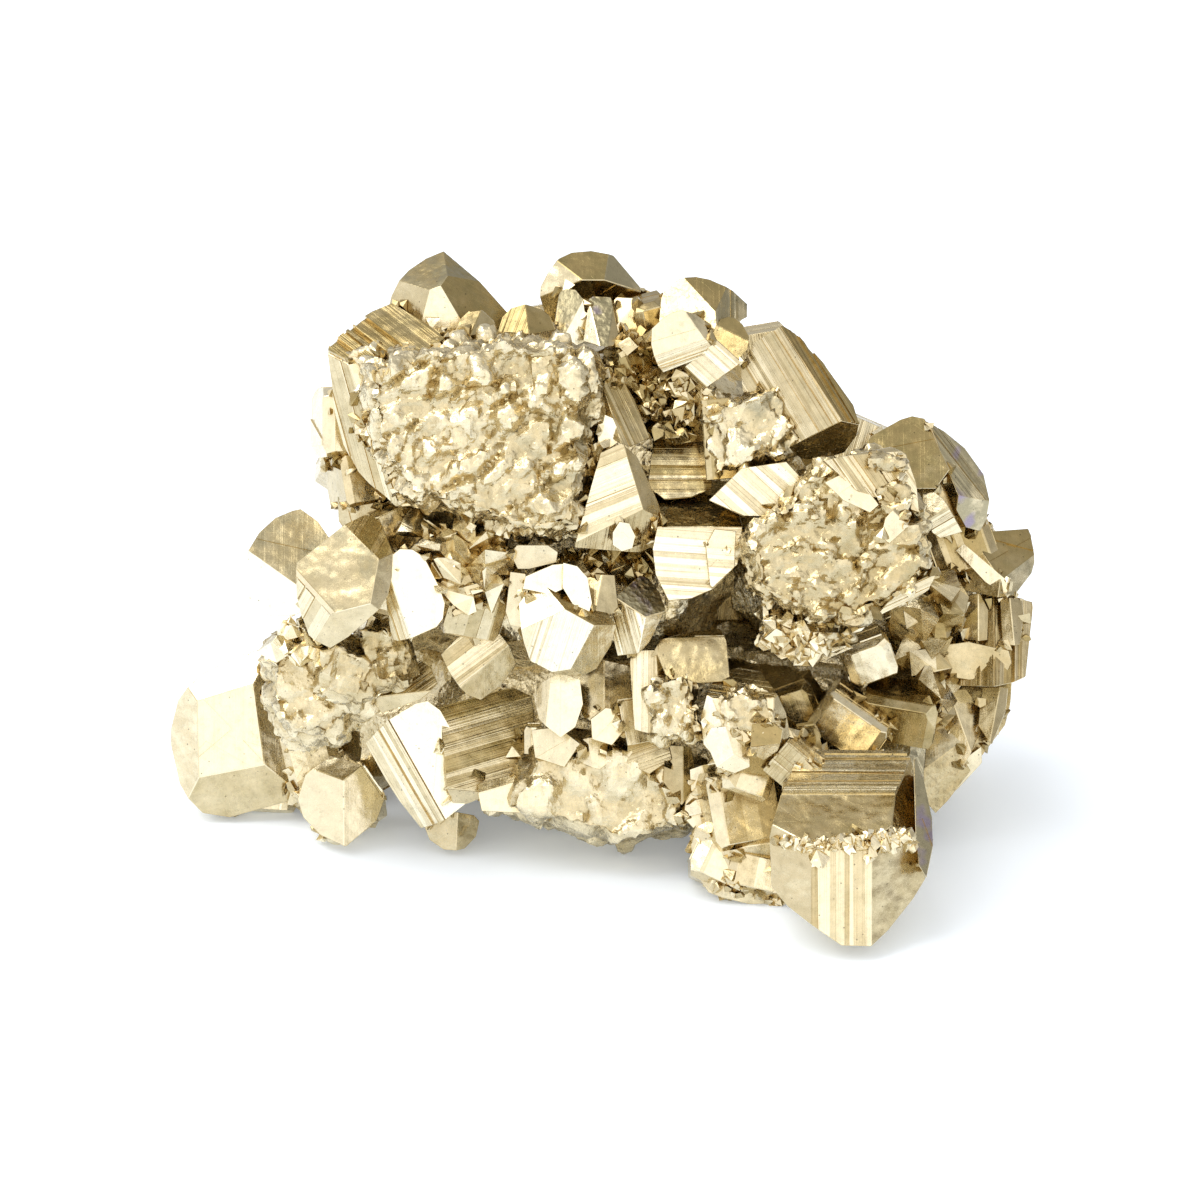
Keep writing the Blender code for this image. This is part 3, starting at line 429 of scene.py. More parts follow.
# ---- The stepped block in the middle, the slab above it and the block with the round flat ----
# Clear crystals whose fronts stopped growing at different heights, which left steps across them.
faceted([(5.2, 5), (6, 9), (7.5, 10.3), (10, 10.8), (14.6, 10), (14.2, 7), (13.7, 3.5), (11.2, 1), (9, 0.1),
         (6.8, -0.1), (5.5, 2.5)],
        [flat(10, 7.3, -3.5, 0.05, 0.03, tone=0.05, green=0, along=-4, rise=0.12,
              lines=(0.08, 0.14, 0.2, 0.3, 0.42, 0.47, 0.55, 0.63, 0.8)),
         flat(10, 7.3, -3.5, 0.05, 1.5, tone=1, broken=0.6)], back=6, steps=0)
faceted([(10.2, 2), (9.9, 4.2), (10.5, 5.4), (10.3, 7.2), (13.6, 6.9), (13.4, 3.2), (11.2, 1.2)],
        [flat(10, 5, -4, 0.05, 0.03, tone=0.05, green=0, along=-4, lines=5)], back=0, steps=1)
faceted([(0.2, 18.5), (0.3, 21.5), (1.2, 22.9), (2.2, 22.3), (4, 19), (4.9, 16), (2.8, 15.3), (1.5, 15.8)],
        [flat(2, 19, -1.5, 0.35, 0.5, tone=0.8, along=-65, lines=5), flat(1, 19, -1.8, -0.6, 0.2, tone=0.2)],
        back=4, steps=0)
faceted([(-0.3, 17), (0.3, 18.6), (1.3, 18.2), (2.3, 16), (0.8, 15), (-0.2, 15.4)],
        [flat(1, 17, -2.6, 0.15, 0, tone=0)], back=2, steps=0)
faceted([(-2.5, 5.3), (-0.5, 13), (0, 14.6), (2, 15.6), (3.5, 14.6), (4.8, 12), (5.9, 9.5), (6.2, 8.3),
         (6, 6.5), (5, 5.2), (3.5, 4.5), (1.2, 4.7), (-1, 5)],
        [flat(4.3, 9, -4.5, 0.1, 0.05, tone=0.2, along=22, rise=0.18, lines=11),
         flat(4.3, 9, -4.5, 0.8, 0.26, tone=0.8), flat(4.3, 9, -4.5, 0.42, -0.6, tone=0.65, along=80, lined=0.7)],
        back=5, steps=0)
faceted([(-2.7, 4.9), (4.2, 8.1), (4.6, 8.9), (-2.4, 5.7)], [flat(1, 7, -5.5, 0.1, 0.1, tone=0)], back=0, steps=0)
faceted([(1.2, 5.5), (1.3, 6.9), (2, 7.8), (2.9, 7.6), (3.5, 6.5), (3.3, 5.2), (2.2, 4.8)],
        [flat(2.3, 6.2, -5.2, -0.2, -0.3, tone=0.1)], back=0, steps=0)
rubble([(-2, 14), (-0.5, 17), (1, 15), (0, 12)], -2.5, 14, 1.2, tone=0.4, seed=3)
rubble([(-4, 4), (0, 5), (5, 4.5), (6, 2.5), (1.5, 2.8), (-4, 3)], 0.5, 46, 1.5, tone=0.9, seed=4)

# ---- The big broken block on the upper left ----
# The largest crystal: its front was struck off, which left a lumpy broken face in front of the flat top
# and side that still show its growth lines.
BREAK_FINE = 0.5               # spacing of the mesh over a broken surface, mm


def even_mesh(mass, spacing):
    """Remakes a closed body with one even mesh over its outside."""
    bpy.ops.object.select_all(action="DESELECT")
    mass.select_set(True)
    bpy.context.view_layer.objects.active = mass
    even = mass.modifiers.new("even mesh", "REMESH")
    even.mode = "VOXEL"
    even.voxel_size = spacing
    bpy.ops.object.modifier_apply(modifier=even.name)


def knobs(mass, seed, scales):
    """Moves each point out or in to rounded knobs with grooves between them, the large ones first.

    Each of scales is the knobs' size, how much longer than wide they are, and their depth. Returns how
    high each point lies, from 0 in a groove to 1 on a knob.
    """
    mesh = mass.data
    turned = Matrix.Rotation(math.radians(seed * 37), 3, "Z") @ Matrix.Rotation(0.5, 3, "X")
    heights = [1.0] * len(mesh.vertices)
    for size, stretch, depth in scales:
        moves = []
        for number, vert in enumerate(mesh.vertices):
            place = turned @ vert.co / size + Vector((seed, seed * 2, seed * 3)) * 3.7
            place.y /= stretch
            place += noise.noise_vector(place * 0.8) * 0.6
            distances, centres = noise.voronoi(place)
            own = noise.cell_vector(centres[0] * 17.3)
            tilt = (own - Vector((0.5, 0.5, 0.5))).dot(place - centres[0])
            rise = min(1.0, (distances[1] - distances[0]) / 0.42)
            rise = rise * rise * (3 - 2 * rise)
            level = rise * (0.35 + 0.65 * own.x) + tilt * 0.5
            heights[number] *= 0.25 + 0.75 * min(1, max(0, level * 1.4))
            moves.append(vert.normal * (depth * (level - 0.45)))
        for vert, move in zip(mesh.vertices, moves):
            vert.co += move
        mesh.update()
    return heights


def broken_mass(at, depth, outline, seed, front=0.72, spacing=BREAK_FINE, tone=(0.1, 0.5), green=(0.1, 0.6),
                scales=((3.0, 1.6, 1.5), (1.3, 1.5, 0.5))):
    """A broken lump: a rounded body with this outline, seen face on, and a fractured surface.

    tone and green are its finish at its left and its right end.
    """
    bpy.ops.object.select_all(action="DESELECT")
    bpy.ops.mesh.primitive_cube_add(size=1, location=(0, 0, 0))
    mass = bpy.context.object
    shell = bmesh.new()
    for x, y in outline:
        right, up = x - at[0], y - at[1]
        shell.verts.new((right, up, 0))
        shell.verts.new((right * front, up * front, depth / 2))
        shell.verts.new((right * 0.8, up * 0.8, -depth / 2))
    shell.to_mesh(mass.data)
    shell.free()
    bpy.ops.object.mode_set(mode="EDIT")
    bpy.ops.mesh.select_all(action="SELECT")
    bpy.ops.mesh.convex_hull()
    bpy.ops.object.mode_set(mode="OBJECT")
    break_surface(mass, at, (0, 0, 0), seed, spacing, tone, green, scales)


def break_surface(mass, at, turn, seed, spacing, tone, green, scales):
    """Gives a body a fractured surface: clean knobs with grooves between them, painted darker and greyer as shade."""
    even_mesh(mass, spacing)
    heights = knobs(mass, seed, scales)
    ends = [vert.co.x for vert in mass.data.vertices]
    low, high = min(ends), max(ends)

    def finish_of(face):
        share = (face.center.x - low) / (high - low)
        height = sum(heights[vert] for vert in face.vertices) / len(face.vertices)
        # Painted shade: the lower a face lies in a groove, the darker its tone and the more grey-green it is made.
        groove = (1 - height) * (1 - height)
        return (Vector((1, 0, 0)), Vector((0, 1, 0)),
                (0.0, min(1, tone[0] + (tone[1] - tone[0]) * share + groove * 0.45), 0.8,
                 min(1, (green[0] + (green[1] - green[0]) * share) * (1.4 - height))))

    write_finish(mass.data, finish_of)
    set_in_place(mass, at, turn)
    bpy.ops.object.shade_smooth_by_angle(angle=math.radians(50))


def broken_block(at, size, turn, seed, tone=(0.4, 0.4), green=(0.2, 0.2), spacing=BREAK_FINE,
                 scales=((2.4, 1.3, 1.0), (1.0, 1.2, 0.35))):
    """A block whose faces are all broken."""
    block = start_block([-side / 2 for side in size], [side / 2 for side in size])
    for normal in pyrite_normals():
        cut_flat(normal, corner_reach(normal, size) - min(size) * 0.12)
    bpy.ops.object.mode_set(mode="OBJECT")
    break_surface(block, at, turn, seed, spacing, tone, green, scales)


faceted([(-27.1, 25), (-25.5, 26.8), (-24, 28), (-21.5, 29.3), (-20, 29.6), (-17.5, 27.7), (-15.5, 26),
         (-15, 12), (-17, 9.5), (-20, 9.3), (-22, 10.6), (-23.8, 12.3), (-25.6, 15.5), (-26.7, 20)],
        [flat(-22, 24, -3.2, -0.1, 1, tone=0.9, along=-38, rise=0.45,
              lines=(0.05, 0.17, 0.19, 0.25, 0.28, 0.31, 0.35, 0.42, 0.44, 0.6)),
         flat(-22, 24, -3.2, 0.05, 0.02, tone=0.2),
         flat(-25.7, 24.8, -3.3, -0.8, -0.3, tone=0.2, along=-75, lines=9, rise=0.2)], back=9, steps=0)
broken_mass((-11, 16.5, -2), 12,
            [(-25.2, 24.4), (-22, 24.2), (-19.6, 25), (-16, 26.2), (-10, 26.9), (-4, 26.4), (-0.5, 24.5),
             (0.2, 20.5), (-1.4, 14.5), (-1, 6), (-6, 5.2), (-11, 7), (-16, 8.6), (-20, 9.8), (-21.8, 12),
             (-23.8, 16)], seed=1, tone=(0.1, 0.3), green=(0.0, 0.4), front=0.84, spacing=0.34)
crystal((-26.2, 17.8, 3), (4.5, 7, 6), (0, 0, 15), edge=0.5, tone=0.1)
crystal((-24.3, 12.2, 4), (5, 5.5, 6), (10, 0, 20), edge=0.3, tone=0.5)
faceted([(-26.3, 8), (-26.3, 10.5), (-24.5, 11), (-22, 10), (-21.5, 8), (-23, 6.5), (-25.5, 6.8)],
        [flat(-24, 9, 2.5, -0.3, -0.2, tone=0.4, green=0.6)], back=8)
broken_block((14.8, 17.0, 1), (9, 8, 8), (15, 0, 0), seed=11, tone=(0.05, 0.2), green=(0.1, 0.5), spacing=0.4)

# ---- The broken lump on the right ----
# A lump broken all over, with one striated end left whole and thin torn layers hanging under it.
broken_mass((24.5, 6.2, -3), 12,
            [(20, 13), (24.3, 14.4), (28, 15.5), (30.5, 14.5), (31.8, 11), (33, 7), (33.2, 3), (32, 0.2),
             (28, -1.2), (26, -2.8), (20, -2.4), (14.2, 0.8), (14, 6), (17.5, 10)], seed=2, tone=(0.2, 0.35),
            green=(0.1, 0.3), spacing=0.34, front=0.88, scales=((4.4, 1.2, 1.6), (1.7, 1.5, 0.6), (0.8, 1.2, 0.22)))
faceted([(20.2, 13.2), (24, 14.4), (28.4, 15.6), (30.4, 14.4), (31.4, 11.5), (31.6, 8.5), (29.5, 7.6), (27.8, 8.4),
         (25.5, 10.6), (22.5, 11.8)],
        [flat(27.5, 12, -8.7, 0.25, 0.1, tone=0.25, along=-55, lines=13, rise=0.3),
         flat(27.5, 14.6, -8.4, 0.1, 1.8, tone=0.6)], back=-2, steps=2)
faceted([(22.2, 11.6), (23.8, 12.5), (26.3, 11.2), (27.7, 9.4), (26.7, 8.6), (24, 9.9)],
        [flat(25, 10.5, -9.8, 0.15, 0.1, tone=0.2, broken=0.4)], back=-4, steps=1)
faceted([(27.8, 6.2), (28.2, 8.0), (29.2, 9.2), (30.4, 9.0), (30.8, 7.8), (30, 6.7), (28.6, 5.6)],
        [flat(29.2, 7.5, -9.6, 0.3, 0, tone=0.15), flat(29.6, 8, -9.6, 0.7, 0.4, tone=0.3)], back=-3, steps=0)
faceted([(23.4, -2.9), (24, -1.6), (27, -0.1), (30, 1.5), (32.6, 4.2), (33.3, 2.8), (32.7, 1.1), (30.6, -0.4),
         (28, -1.4), (25.5, -2.6)],
        [flat(28, -0.5, -8.2, 0.25, -0.35, tone=0.35, along=24, lines=5, rise=0.2)], back=-1, steps=1)
broken_mass((20.5, -3.5, -2), 5, [(15.3, -1), (25.5, -1.5), (25.8, -4), (20, -6), (15.5, -4.5)], seed=3,
            tone=(0.1, 0.2), scales=((2.4, 3.0, 1.1), (0.9, 2.0, 0.3)))
rubble([(15.5, -1.5), (25.5, -1.5), (25, -4.5), (20, -6), (16, -4.5)], -3.5, 40, 1.3, tone=0.3, seed=5)

# ---- The far right side ----
# Larger crystals set well back, one above the other.
faceted([(26, 15), (27.2, 16.4), (30, 18.1), (31.5, 18.6), (32.9, 18.3), (34.2, 15.6), (35.2, 13), (33.7, 11.2),
         (31.5, 11.2), (28.5, 12.5)], [flat(31, 15, 8, 0.05, 0.65, tone=1, green=0)], back=22, taper=0.1)
faceted([(32.5, 18.3), (34.5, 17.2), (36.8, 15.4), (38.8, 12.6), (39.3, 10), (39.1, 8.2), (38.4, 6.9),
         (36.8, 7.4), (35.5, 10), (33.5, 14)],
        [flat(36, 12.5, 9, 0.55, 0.4, tone=0.5, green=0.9, along=-52, lines=4, rise=0.1),
         flat(37.5, 9, 9.6, 0.4, -0.5, tone=0.5, green=1),
         flat(35.3, 12.5, 8.7, -1.2, -0.3, tone=0.5)], back=22, taper=0.1, steps=0)
faceted([(32.4, 9.5), (32.5, 11.2), (33.7, 11.4), (34.4, 10.3), (37.4, 7.7), (36.7, 6.9), (34.2, 6.2),
         (33.3, 6.9)],
        [flat(34.5, 9.2, 5.5, -0.3, 0.25, tone=0.4, green=0.4),
         flat(34.5, 9.2, 5.5, 0.15, -0.4, tone=0.3, along=30, lines=7)],
        back=18, taper=0.1, steps=0)
faceted([(34.6, 2.5), (34.6, 5.5), (35.9, 6.4), (38, 6.8), (39.5, 8.1), (42.3, 8.1), (43.7, 7), (44.1, 5.3),
         (44.1, 3.5), (43.5, 2), (41.5, 0.2), (39.5, 0.4), (36, 1)],
        [flat(39.7, 3.3, 12, -0.35, 0.3, tone=0.8), flat(39.7, 3.3, 12, 0.4, 0.78, tone=0.9),
         flat(41.8, 3, 12.6, 0.9, 0.1, tone=0.4, green=0.6)], back=21, steps=2)
faceted([(33.4, -2), (35, 0.6), (40.5, 0.5), (43.9, 0), (44.1, -2), (42.8, -8.1), (41, -8.6), (36.5, -8.9),
         (34, -8.1)],
        [flat(38, -4, 13, -0.35, 0.3, tone=0.6, along=88, lines=8, rise=0.3),
         flat(40.6, -4, 12.7, 0.5, 0.3, tone=0.6, along=88, lines=5, rise=0.3)], back=22, steps=1)
faceted([(33, -9.1), (38, -7.9), (42.1, -8.1), (41.4, -11.7), (40.6, -14.7), (39, -16.7), (36.5, -18.9),
         (34, -21.8), (33, -20.3)],
        [flat(37, -12, 14, 0.1, 0.45, tone=0.5, green=0.3), flat(38, -14.5, 13.6, 0.5, -0.1, tone=0.7, broken=0.6)],
        back=24, steps=2)
faceted([(36, 5), (36.8, 5.7), (38.8, 4), (41.6, 1.6), (41, 0.5), (39, 1.8)],
        [flat(38.5, 3, 11.5, -0.1, -0.1, tone=0.2)], back=15, steps=0)
faceted([(34.5, -4.6), (37, -4.2), (41.3, -5), (41.7, -6.3), (41, -7.8), (37, -8.1), (34.5, -7.6)],
        [flat(38, -6, 11.6, 0.1, -0.15, tone=0.6)], back=16, steps=0)
faceted([(36.6, 0.4), (38.4, 0.7), (39.4, -1), (39.2, -4.2), (37.2, -4.2), (36.5, -2)],
        [flat(38.2, -2, 12, -0.5, 0.1, tone=0.2), flat(38.4, -2, 12, 0.5, 0.1, tone=0.7)], back=16, steps=0)
faceted([(40.4, 0.3), (42.8, 0.2), (43, -2), (42.4, -4.6), (40.8, -4.6)],
        [flat(41.5, -2, 12.2, -0.3, 0.1, tone=0.4), flat(41.9, -2, 12.3, 0.8, 0.2, tone=0.7)], back=16, steps=0)
faceted([(33.8, -9.5), (37, -8.8), (38.6, -11), (38.4, -14), (36.8, -17), (34.4, -17.6), (33.4, -14)],
        [flat(36, -12, 13.2, -0.3, 0.02, tone=0.2), flat(36.6, -12, 13.2, 0.5, 0.3, tone=0.5)], back=18, steps=2)
faceted([(38.6, -8.8), (41.5, -8.8), (41, -12), (39.6, -14.5), (38.4, -13)],
        [flat(40, -11, 13.2, -0.2, 0.3, tone=0.6), flat(40.3, -11, 13.3, 0.8, 0.1, tone=0.7)], back=18, steps=1)
faceted([(35, -17.4), (38.6, -14.8), (38.8, -16.4), (36.6, -18.9), (34.6, -20.6), (33.8, -19)],
        [flat(36.5, -17.5, 13.6, 0.2, -0.3, tone=0.3)], back=20, steps=1)
crystal((36.3, 5.8, 15), (6.5, 6.5, 5), (20, 0, 10), edge=0.4, tone=0.7)
crystal((35.0, 10.6, 14), (5, 5.5, 5), (20, 0, 35), edge=0.4, tone=0.6)
rubble([(30.5, 4), (34.5, 4), (35, -4), (33, -14), (30.5, -6)], 11, 28, 3.2, tone=0.7, seed=6)

# ---- The left arm ----
# An arm of clear crystals that reaches out over the floor, rough underneath.
faceted([(-36, 2), (-35.5, 4.3), (-34.8, 6), (-33.2, 7.9), (-31.5, 8.8), (-30, 9.2), (-27.8, 7.4), (-26.5, 5),
         (-28, 0), (-30, -1.5), (-32.8, -1.8), (-34.9, -0.6)],
        [flat(-32, 2.7, 1, 0.1, 0.6, tone=0.75, green=0.5), flat(-32, 2.7, 1, -0.57, -0.35, tone=0.1)], back=10)
faceted([(-30.3, 1), (-30.2, 3.8), (-27, 6.3), (-25, 7.8), (-23.8, 8.5), (-22.5, 8.4), (-21.3, 7), (-20.6, 4),
         (-20.7, 2), (-21.2, 0), (-23, -2.2), (-25.5, -4.2), (-27, -4.9), (-29, -3.6), (-29.9, -1)],
        [flat(-25, 3, -6, -0.3, 0.2, tone=0.5, green=0.4), flat(-22, 4, -6.7, 0.4, 0.9, tone=0.8, along=60, lines=6),
         flat(-26.2, -1.2, -6.5, -0.52, 0, tone=0), flat(-26.7, -1.6, -6.2, -0.96, -0.4, tone=0.2, along=60, lines=5),
         flat(-22, 4, -6.7, 0.8, 0, tone=0.6), flat(-26.2, -1.2, -6.5, 0, -1, tone=0.4)], back=4, steps=1)
faceted([(-21.6, 3.8), (-20, 5.1), (-18.7, 5.1), (-17.5, 4.3), (-16, 1.4), (-15.4, -0.3), (-15.6, -1.9),
         (-16.3, -2.8), (-19.5, -4.1), (-20.8, -4.1), (-21.4, 0)],
        [flat(-18.5, 1, -4.6, 0.15, 0.02, tone=0, green=0),
         flat(-21.5, 3.8, -5, -0.7, -0.28, tone=0.2, along=-72, lines=6)], back=4, steps=0)
crystal((-20.5, 7.6, 4), (5.5, 5, 5), (25, 15, 10), edge=0.4, tone=0.5)
crystal((-21.8, -3.2, 3.5), (5, 4, 4), (-15, 10, 20), edge=0.3, tone=0.4)
crystal((-15.5, 2.5, 1.5), (6, 7, 6), (20, 20, 0), edge=0.5, tone=0.5)
crystal((-13.0, -0.3, 1.5), (6, 6, 6), (-10, 20, 20), edge=0.5, tone=0.4)
crystal((-10.8, 3.6, 1), (5, 5, 6), (30, 25, -10), edge=0.3, tone=0.5)
crystal((-17.0, 6.0, 1.5), (6, 4.5, 6), (-35, 20, 0), edge=0.3, tone=0.5)
rubble([(-20, 8), (-14, 7), (-9, 5), (-10, 0), (-15, -1), (-17, 5)], -1.4, 40, 2.4, tone=0.3, seed=7)
broken_block((-21.5, -5.5, 1), (5, 7, 6), (10, 0, 0), seed=13)
broken_block((-25.0, -7.0, 2), (6.5, 6.5, 7), (-20, 10, 0), seed=14, tone=(0.2, 0.3))
broken_mass((-28.5, -8.5, 8), 12,
            [(-34.5, -6), (-33, -3.5), (-30, -1.5), (-25.5, -3), (-22.5, -7), (-23, -12), (-27, -15.5),
             (-31.5, -15), (-34.5, -11)], seed=4, green=(0.2, 0.2), tone=(0.15, 0.25))
rubble([(-33, -4), (-30, -2), (-27, -3), (-28, -6), (-32, -7)], 2, 12, 1.6, tone=0.1, seed=8)

# ---- The left feet ----
# Large pale crystals, low and far back, that carry the left side.
faceted([(-43.9, -12.8), (-42.9, -9.7), (-40.9, -7.7), (-36.8, -5.6), (-34.5, -5), (-31.7, -10.2),
         (-30.7, -16.4), (-31.5, -20.4), (-37.8, -22.3), (-40.9, -21.7), (-42.7, -19.4), (-43.9, -15.3)],
        [flat(-38, -13, 20, -0.05, 0.02, tone=0.05, green=0), flat(-38, -9.5, 20, -0.2, 0.5, tone=0.35, green=0),
         flat(-37, -17.6, 20, 0.05, -0.5, tone=0.5, green=0.2), flat(-34.6, -12, 20, 0.55, 0.1, tone=0.4),
         flat(-41.2, -14, 20.3, -0.9, 0, tone=0.15, green=0)], back=33, steps=3)
crystal((-35.5, -18.2, 27), (8.5, 6, 8), (-4, 10, 10), edge=0.5, tone=0.2)
crystal((-29.5, -16.5, 24), (6, 7, 7), (15, 0, 0), edge=0.5, tone=0.3)
faceted([(-30.8, -20.3), (-30, -17.8), (-27.4, -15.7), (-24.4, -16.8), (-21.8, -20.3), (-22.9, -22.9),
         (-25.9, -24.9), (-27.9, -24.2), (-30, -22.4)],
        [flat(-26, -20, 14.5, -0.35, 0.1, tone=0.1), flat(-26, -20, 14.5, 0.5, 0.1, tone=0.2),
         flat(-27, -18, 15, -0.1, 0.8, tone=0.4)], back=27)
crystal((-26.3, -20.3, 20), (7.5, 7.5, 7.5), (35, 10, 0), edge=0.8, tone=0.2)
faceted([(-16.5, -11), (-13, -9.8), (-9, -8.8), (-6.7, -9.8), (-6.4, -16.5), (-9, -18.7), (-12.4, -20.3),
         (-15, -21)],
        [flat(-11, -14, 11, 0.2, 0.25, tone=0.5, along=16, lines=(0.2, 0.27, 0.33, 0.5, 0.62, 0.7, 0.85), rise=0.06),
         flat(-11, -18.6, 9, 0.1, -0.8, tone=0.4)],
        back=20)
faceted([(-23.8, -14.3), (-22.5, -12.9), (-19, -10.6), (-17.5, -10.2), (-16.2, -11.1), (-13.2, -16.4),
         (-12.3, -18.8), (-13.4, -20.5), (-15.5, -22), (-17.9, -23.3), (-20, -20.8), (-21.8, -18)],
        [flat(-17, -15, 10, 0.15, 0.05, tone=0, green=0),
         flat(-21.2, -12.2, 9.5, -0.7, -0.43, tone=0.2, along=-60, lines=8, rise=0.2)], back=20, steps=1)
faceted([(-18, -22.5), (-16.2, -21.5), (-13.2, -21.5), (-12.2, -22.3), (-12.6, -24.2), (-14, -25.4),
         (-15.7, -25.4), (-17.3, -24.4)],
        [flat(-14.5, -23.5, 13.5, -0.3, -0.15, tone=0.5), flat(-14.5, -23.5, 13.5, 0.8, -0.2, tone=0.6)], back=20)
faceted([(-16, -5.5), (-14.5, -3.9), (-12.5, -2.7), (-11.2, -1.9), (-9.5, -4), (-8.2, -6.2), (-10, -8.7),
         (-12.2, -10.2), (-13.8, -9.2), (-15.3, -7)],
        [flat(-9.7, -5, 4, 0.1, 0, tone=0.2, along=37, lines=8), flat(-9.7, -5, 4, 0.6, -0.56, tone=0.7)],
        back=12, steps=0)
faceted([(-22.8, -10.2), (-20, -7.4), (-18, -5.9), (-16.8, -7), (-16.3, -8.5), (-17.5, -9.7), (-20.2, -10.9),
         (-21.8, -11.8)],
        [flat(-19, -8, 5, -0.2, 0.3, tone=0.6, along=35, lines=6), flat(-19, -9.4, 4.6, -0.1, -0.6, tone=0.5)],
        back=12, steps=0)
crystal((-6.7, -15.5, 12), (2, 6, 3), (0, 0, 0), edge=0.3, tone=0.2)

# ---- The clear crystals in the middle ----
# A twelve-sided pyritohedron with bright faces, and a flat-ended crystal beside it.
faceted([(-7.7, 1.1), (-7.5, 2.3), (-5, 3.5), (-3.4, 3.7), (-3.2, 1.2), (-5, 0.5)],
        [flat(-5, 3, -5.0, 0.1, 0.2, tone=0)], back=3, steps=0)
faceted([(-3.7, 1.2), (-3.7, 3.7), (-2.3, 3.4), (-1.2, 2.2), (-0.8, -0.4), (-1.2, -1.6), (-2.6, -0.6)],
        [flat(-2, 1, -5.4, 0.15, 0.1, tone=0)], back=3, steps=0)
faceted([(-1.8, 2.2), (0, 2.5), (1.6, 2.6), (1.8, -1.5), (-1, -1.5)],
        [flat(0, 1, -4.2, -0.3, 0.45, tone=0.6), flat(0, 1, -4.2, 0.45, 0.3, tone=0.5)], back=3, steps=0)
faceted([(-8.2, -0.6), (-7.4, 0.6), (-4.9, 2.3), (-3.3, 1.3), (1.0, -1.5), (1.5, -2.5), (1.3, -4), (-0.3, -6.9),
         (-2.2, -7.7), (-4.5, -7.3), (-7.0, -6), (-7.6, -4)],
        [flat(-3.8, -1.1, -6.6, -0.35, 0.3, tone=0.15, along=-70, lined=0.6),
         flat(-3.8, -1.1, -6.6, -0.12, -0.2, tone=0, along=72, lines=(0.62, 0.66, 0.73, 0.76, 0.82), rise=0.12),
         flat(-0.7, -2.4, -6.85, 0.63, -0.6, tone=0.5, green=0.4),
         flat(-4.2, 0.6, -6.0, 0.2, 1.0, tone=0.8), flat(-3.4, -0.7, -6.4, 0.6, 1.1, tone=0.8),
         flat(-4, -6.9, -5.6, 0.1, -1.6, tone=0.7, broken=0.8)], back=2, steps=0)
faceted([(-9, 4.6), (-8.2, 5.6), (-5, 5.4), (-4.2, 4.8), (-4.3, 3.8), (-6.5, 3.1), (-8.2, 3)],
        [flat(-6.5, 4.3, -3.4, -0.25, -0.15, tone=0.3)], back=3, steps=0)
faceted([(-9.5, -1), (-8.9, 2.9), (-7.4, 2.6), (-7, 0), (-7.2, -2.8), (-9, -2.6)],
        [flat(-8.5, 0, -3.2, -0.25, -0.1, tone=0.2)], back=3, steps=0)
crystal((-3.5, 0.3, -0.5), (8, 7, 7), (10, 10, 0), edge=1.5, tone=0.4)
faceted([(1.2, -3), (1.5, 0.2), (2.4, 1.3), (3.7, 2.6), (5, 2.1), (6.2, 0.3), (6.5, -1), (5, -4.2), (4, -5.2),
         (1.7, -5.7)],
        [flat(4.5, -1.7, -3.6, 0.35, 0.7, tone=0.7, green=1.2, broken=0.8),
         flat(4.5, -1.7, -3.6, -0.31, -0.3, tone=0.2, along=-75, lines=8, rise=0.2),
         flat(4.6, -1.8, -3.5, 0.7, -0.5, tone=0.4)], back=3, steps=0)

# ---- The lower middle ----
# From the olive block down to the arched underside: small crystals on a rough core.
faceted([(-6.8, -9.5), (-5.5, -8), (-4, -7.3), (-2, -8), (-1.7, -10.5), (-2.5, -12.8), (-4, -13.8),
         (-6, -12.2)], [flat(-5.2, -10, 4.2, -0.6, 0.1, tone=0.2), flat(-5.2, -10, 4.2, 0.1, 0.02, tone=0.05)],
        back=11)
faceted([(-1, -12), (0.5, -10.8), (2.2, -11), (2.6, -13), (1.2, -14.6), (-0.8, -14)],
        [flat(0.8, -12.5, 4.5, 0.05, 0.1, tone=0.1)], back=10)
faceted([(-3, -7.5), (0, -6), (3, -6.5), (3.4, -13), (1, -13.5), (-1.5, -12)],
        [flat(0, -9, 5.6, -0.3, 0.2, tone=0.4), flat(0.5, -9, 5.5, 0.3, 0.2, tone=0.5)], back=11, steps=1)
faceted([(-13, -8), (-8, -7.5), (-5, -11), (-5.5, -17), (-8, -19), (-13, -16)],
        [flat(-8, -12, 15, 0.3, 0.7, tone=1)], back=18, steps=0)
faceted([(3, -6), (3.2, -5), (6, -5), (6.4, -7), (6.6, -12), (5.5, -13.5), (3.4, -13)],
        [flat(4.7, -9, 0.5, -0.1, -0.05, tone=0.1, lines=3), flat(5.9, -9, 0.4, 0.8, 0, tone=0.5)], back=7)
crystal((3.5, -12.2, 6), (3, 4.5, 4), (10, 0, 10), tone=0.3)
faceted([(5.4, -5), (6, -4), (9, -3.1), (12.2, -2.9), (12.8, -4.5), (12.9, -8.1), (10, -8.3), (6.8, -7.9)],
        [flat(9, -5.5, -0.8, 0.02, 0.45, tone=0.8, green=0, lined=0), flat(9, -3.6, 0.2, 0, 2, tone=0.9)],
        back=12, taper=0.12, steps=1)
broken_block((7.4, -10.8, -0.5), (5, 7, 5), (10, 0, 0), seed=15, spacing=0.36, tone=(0.2, 0.2))
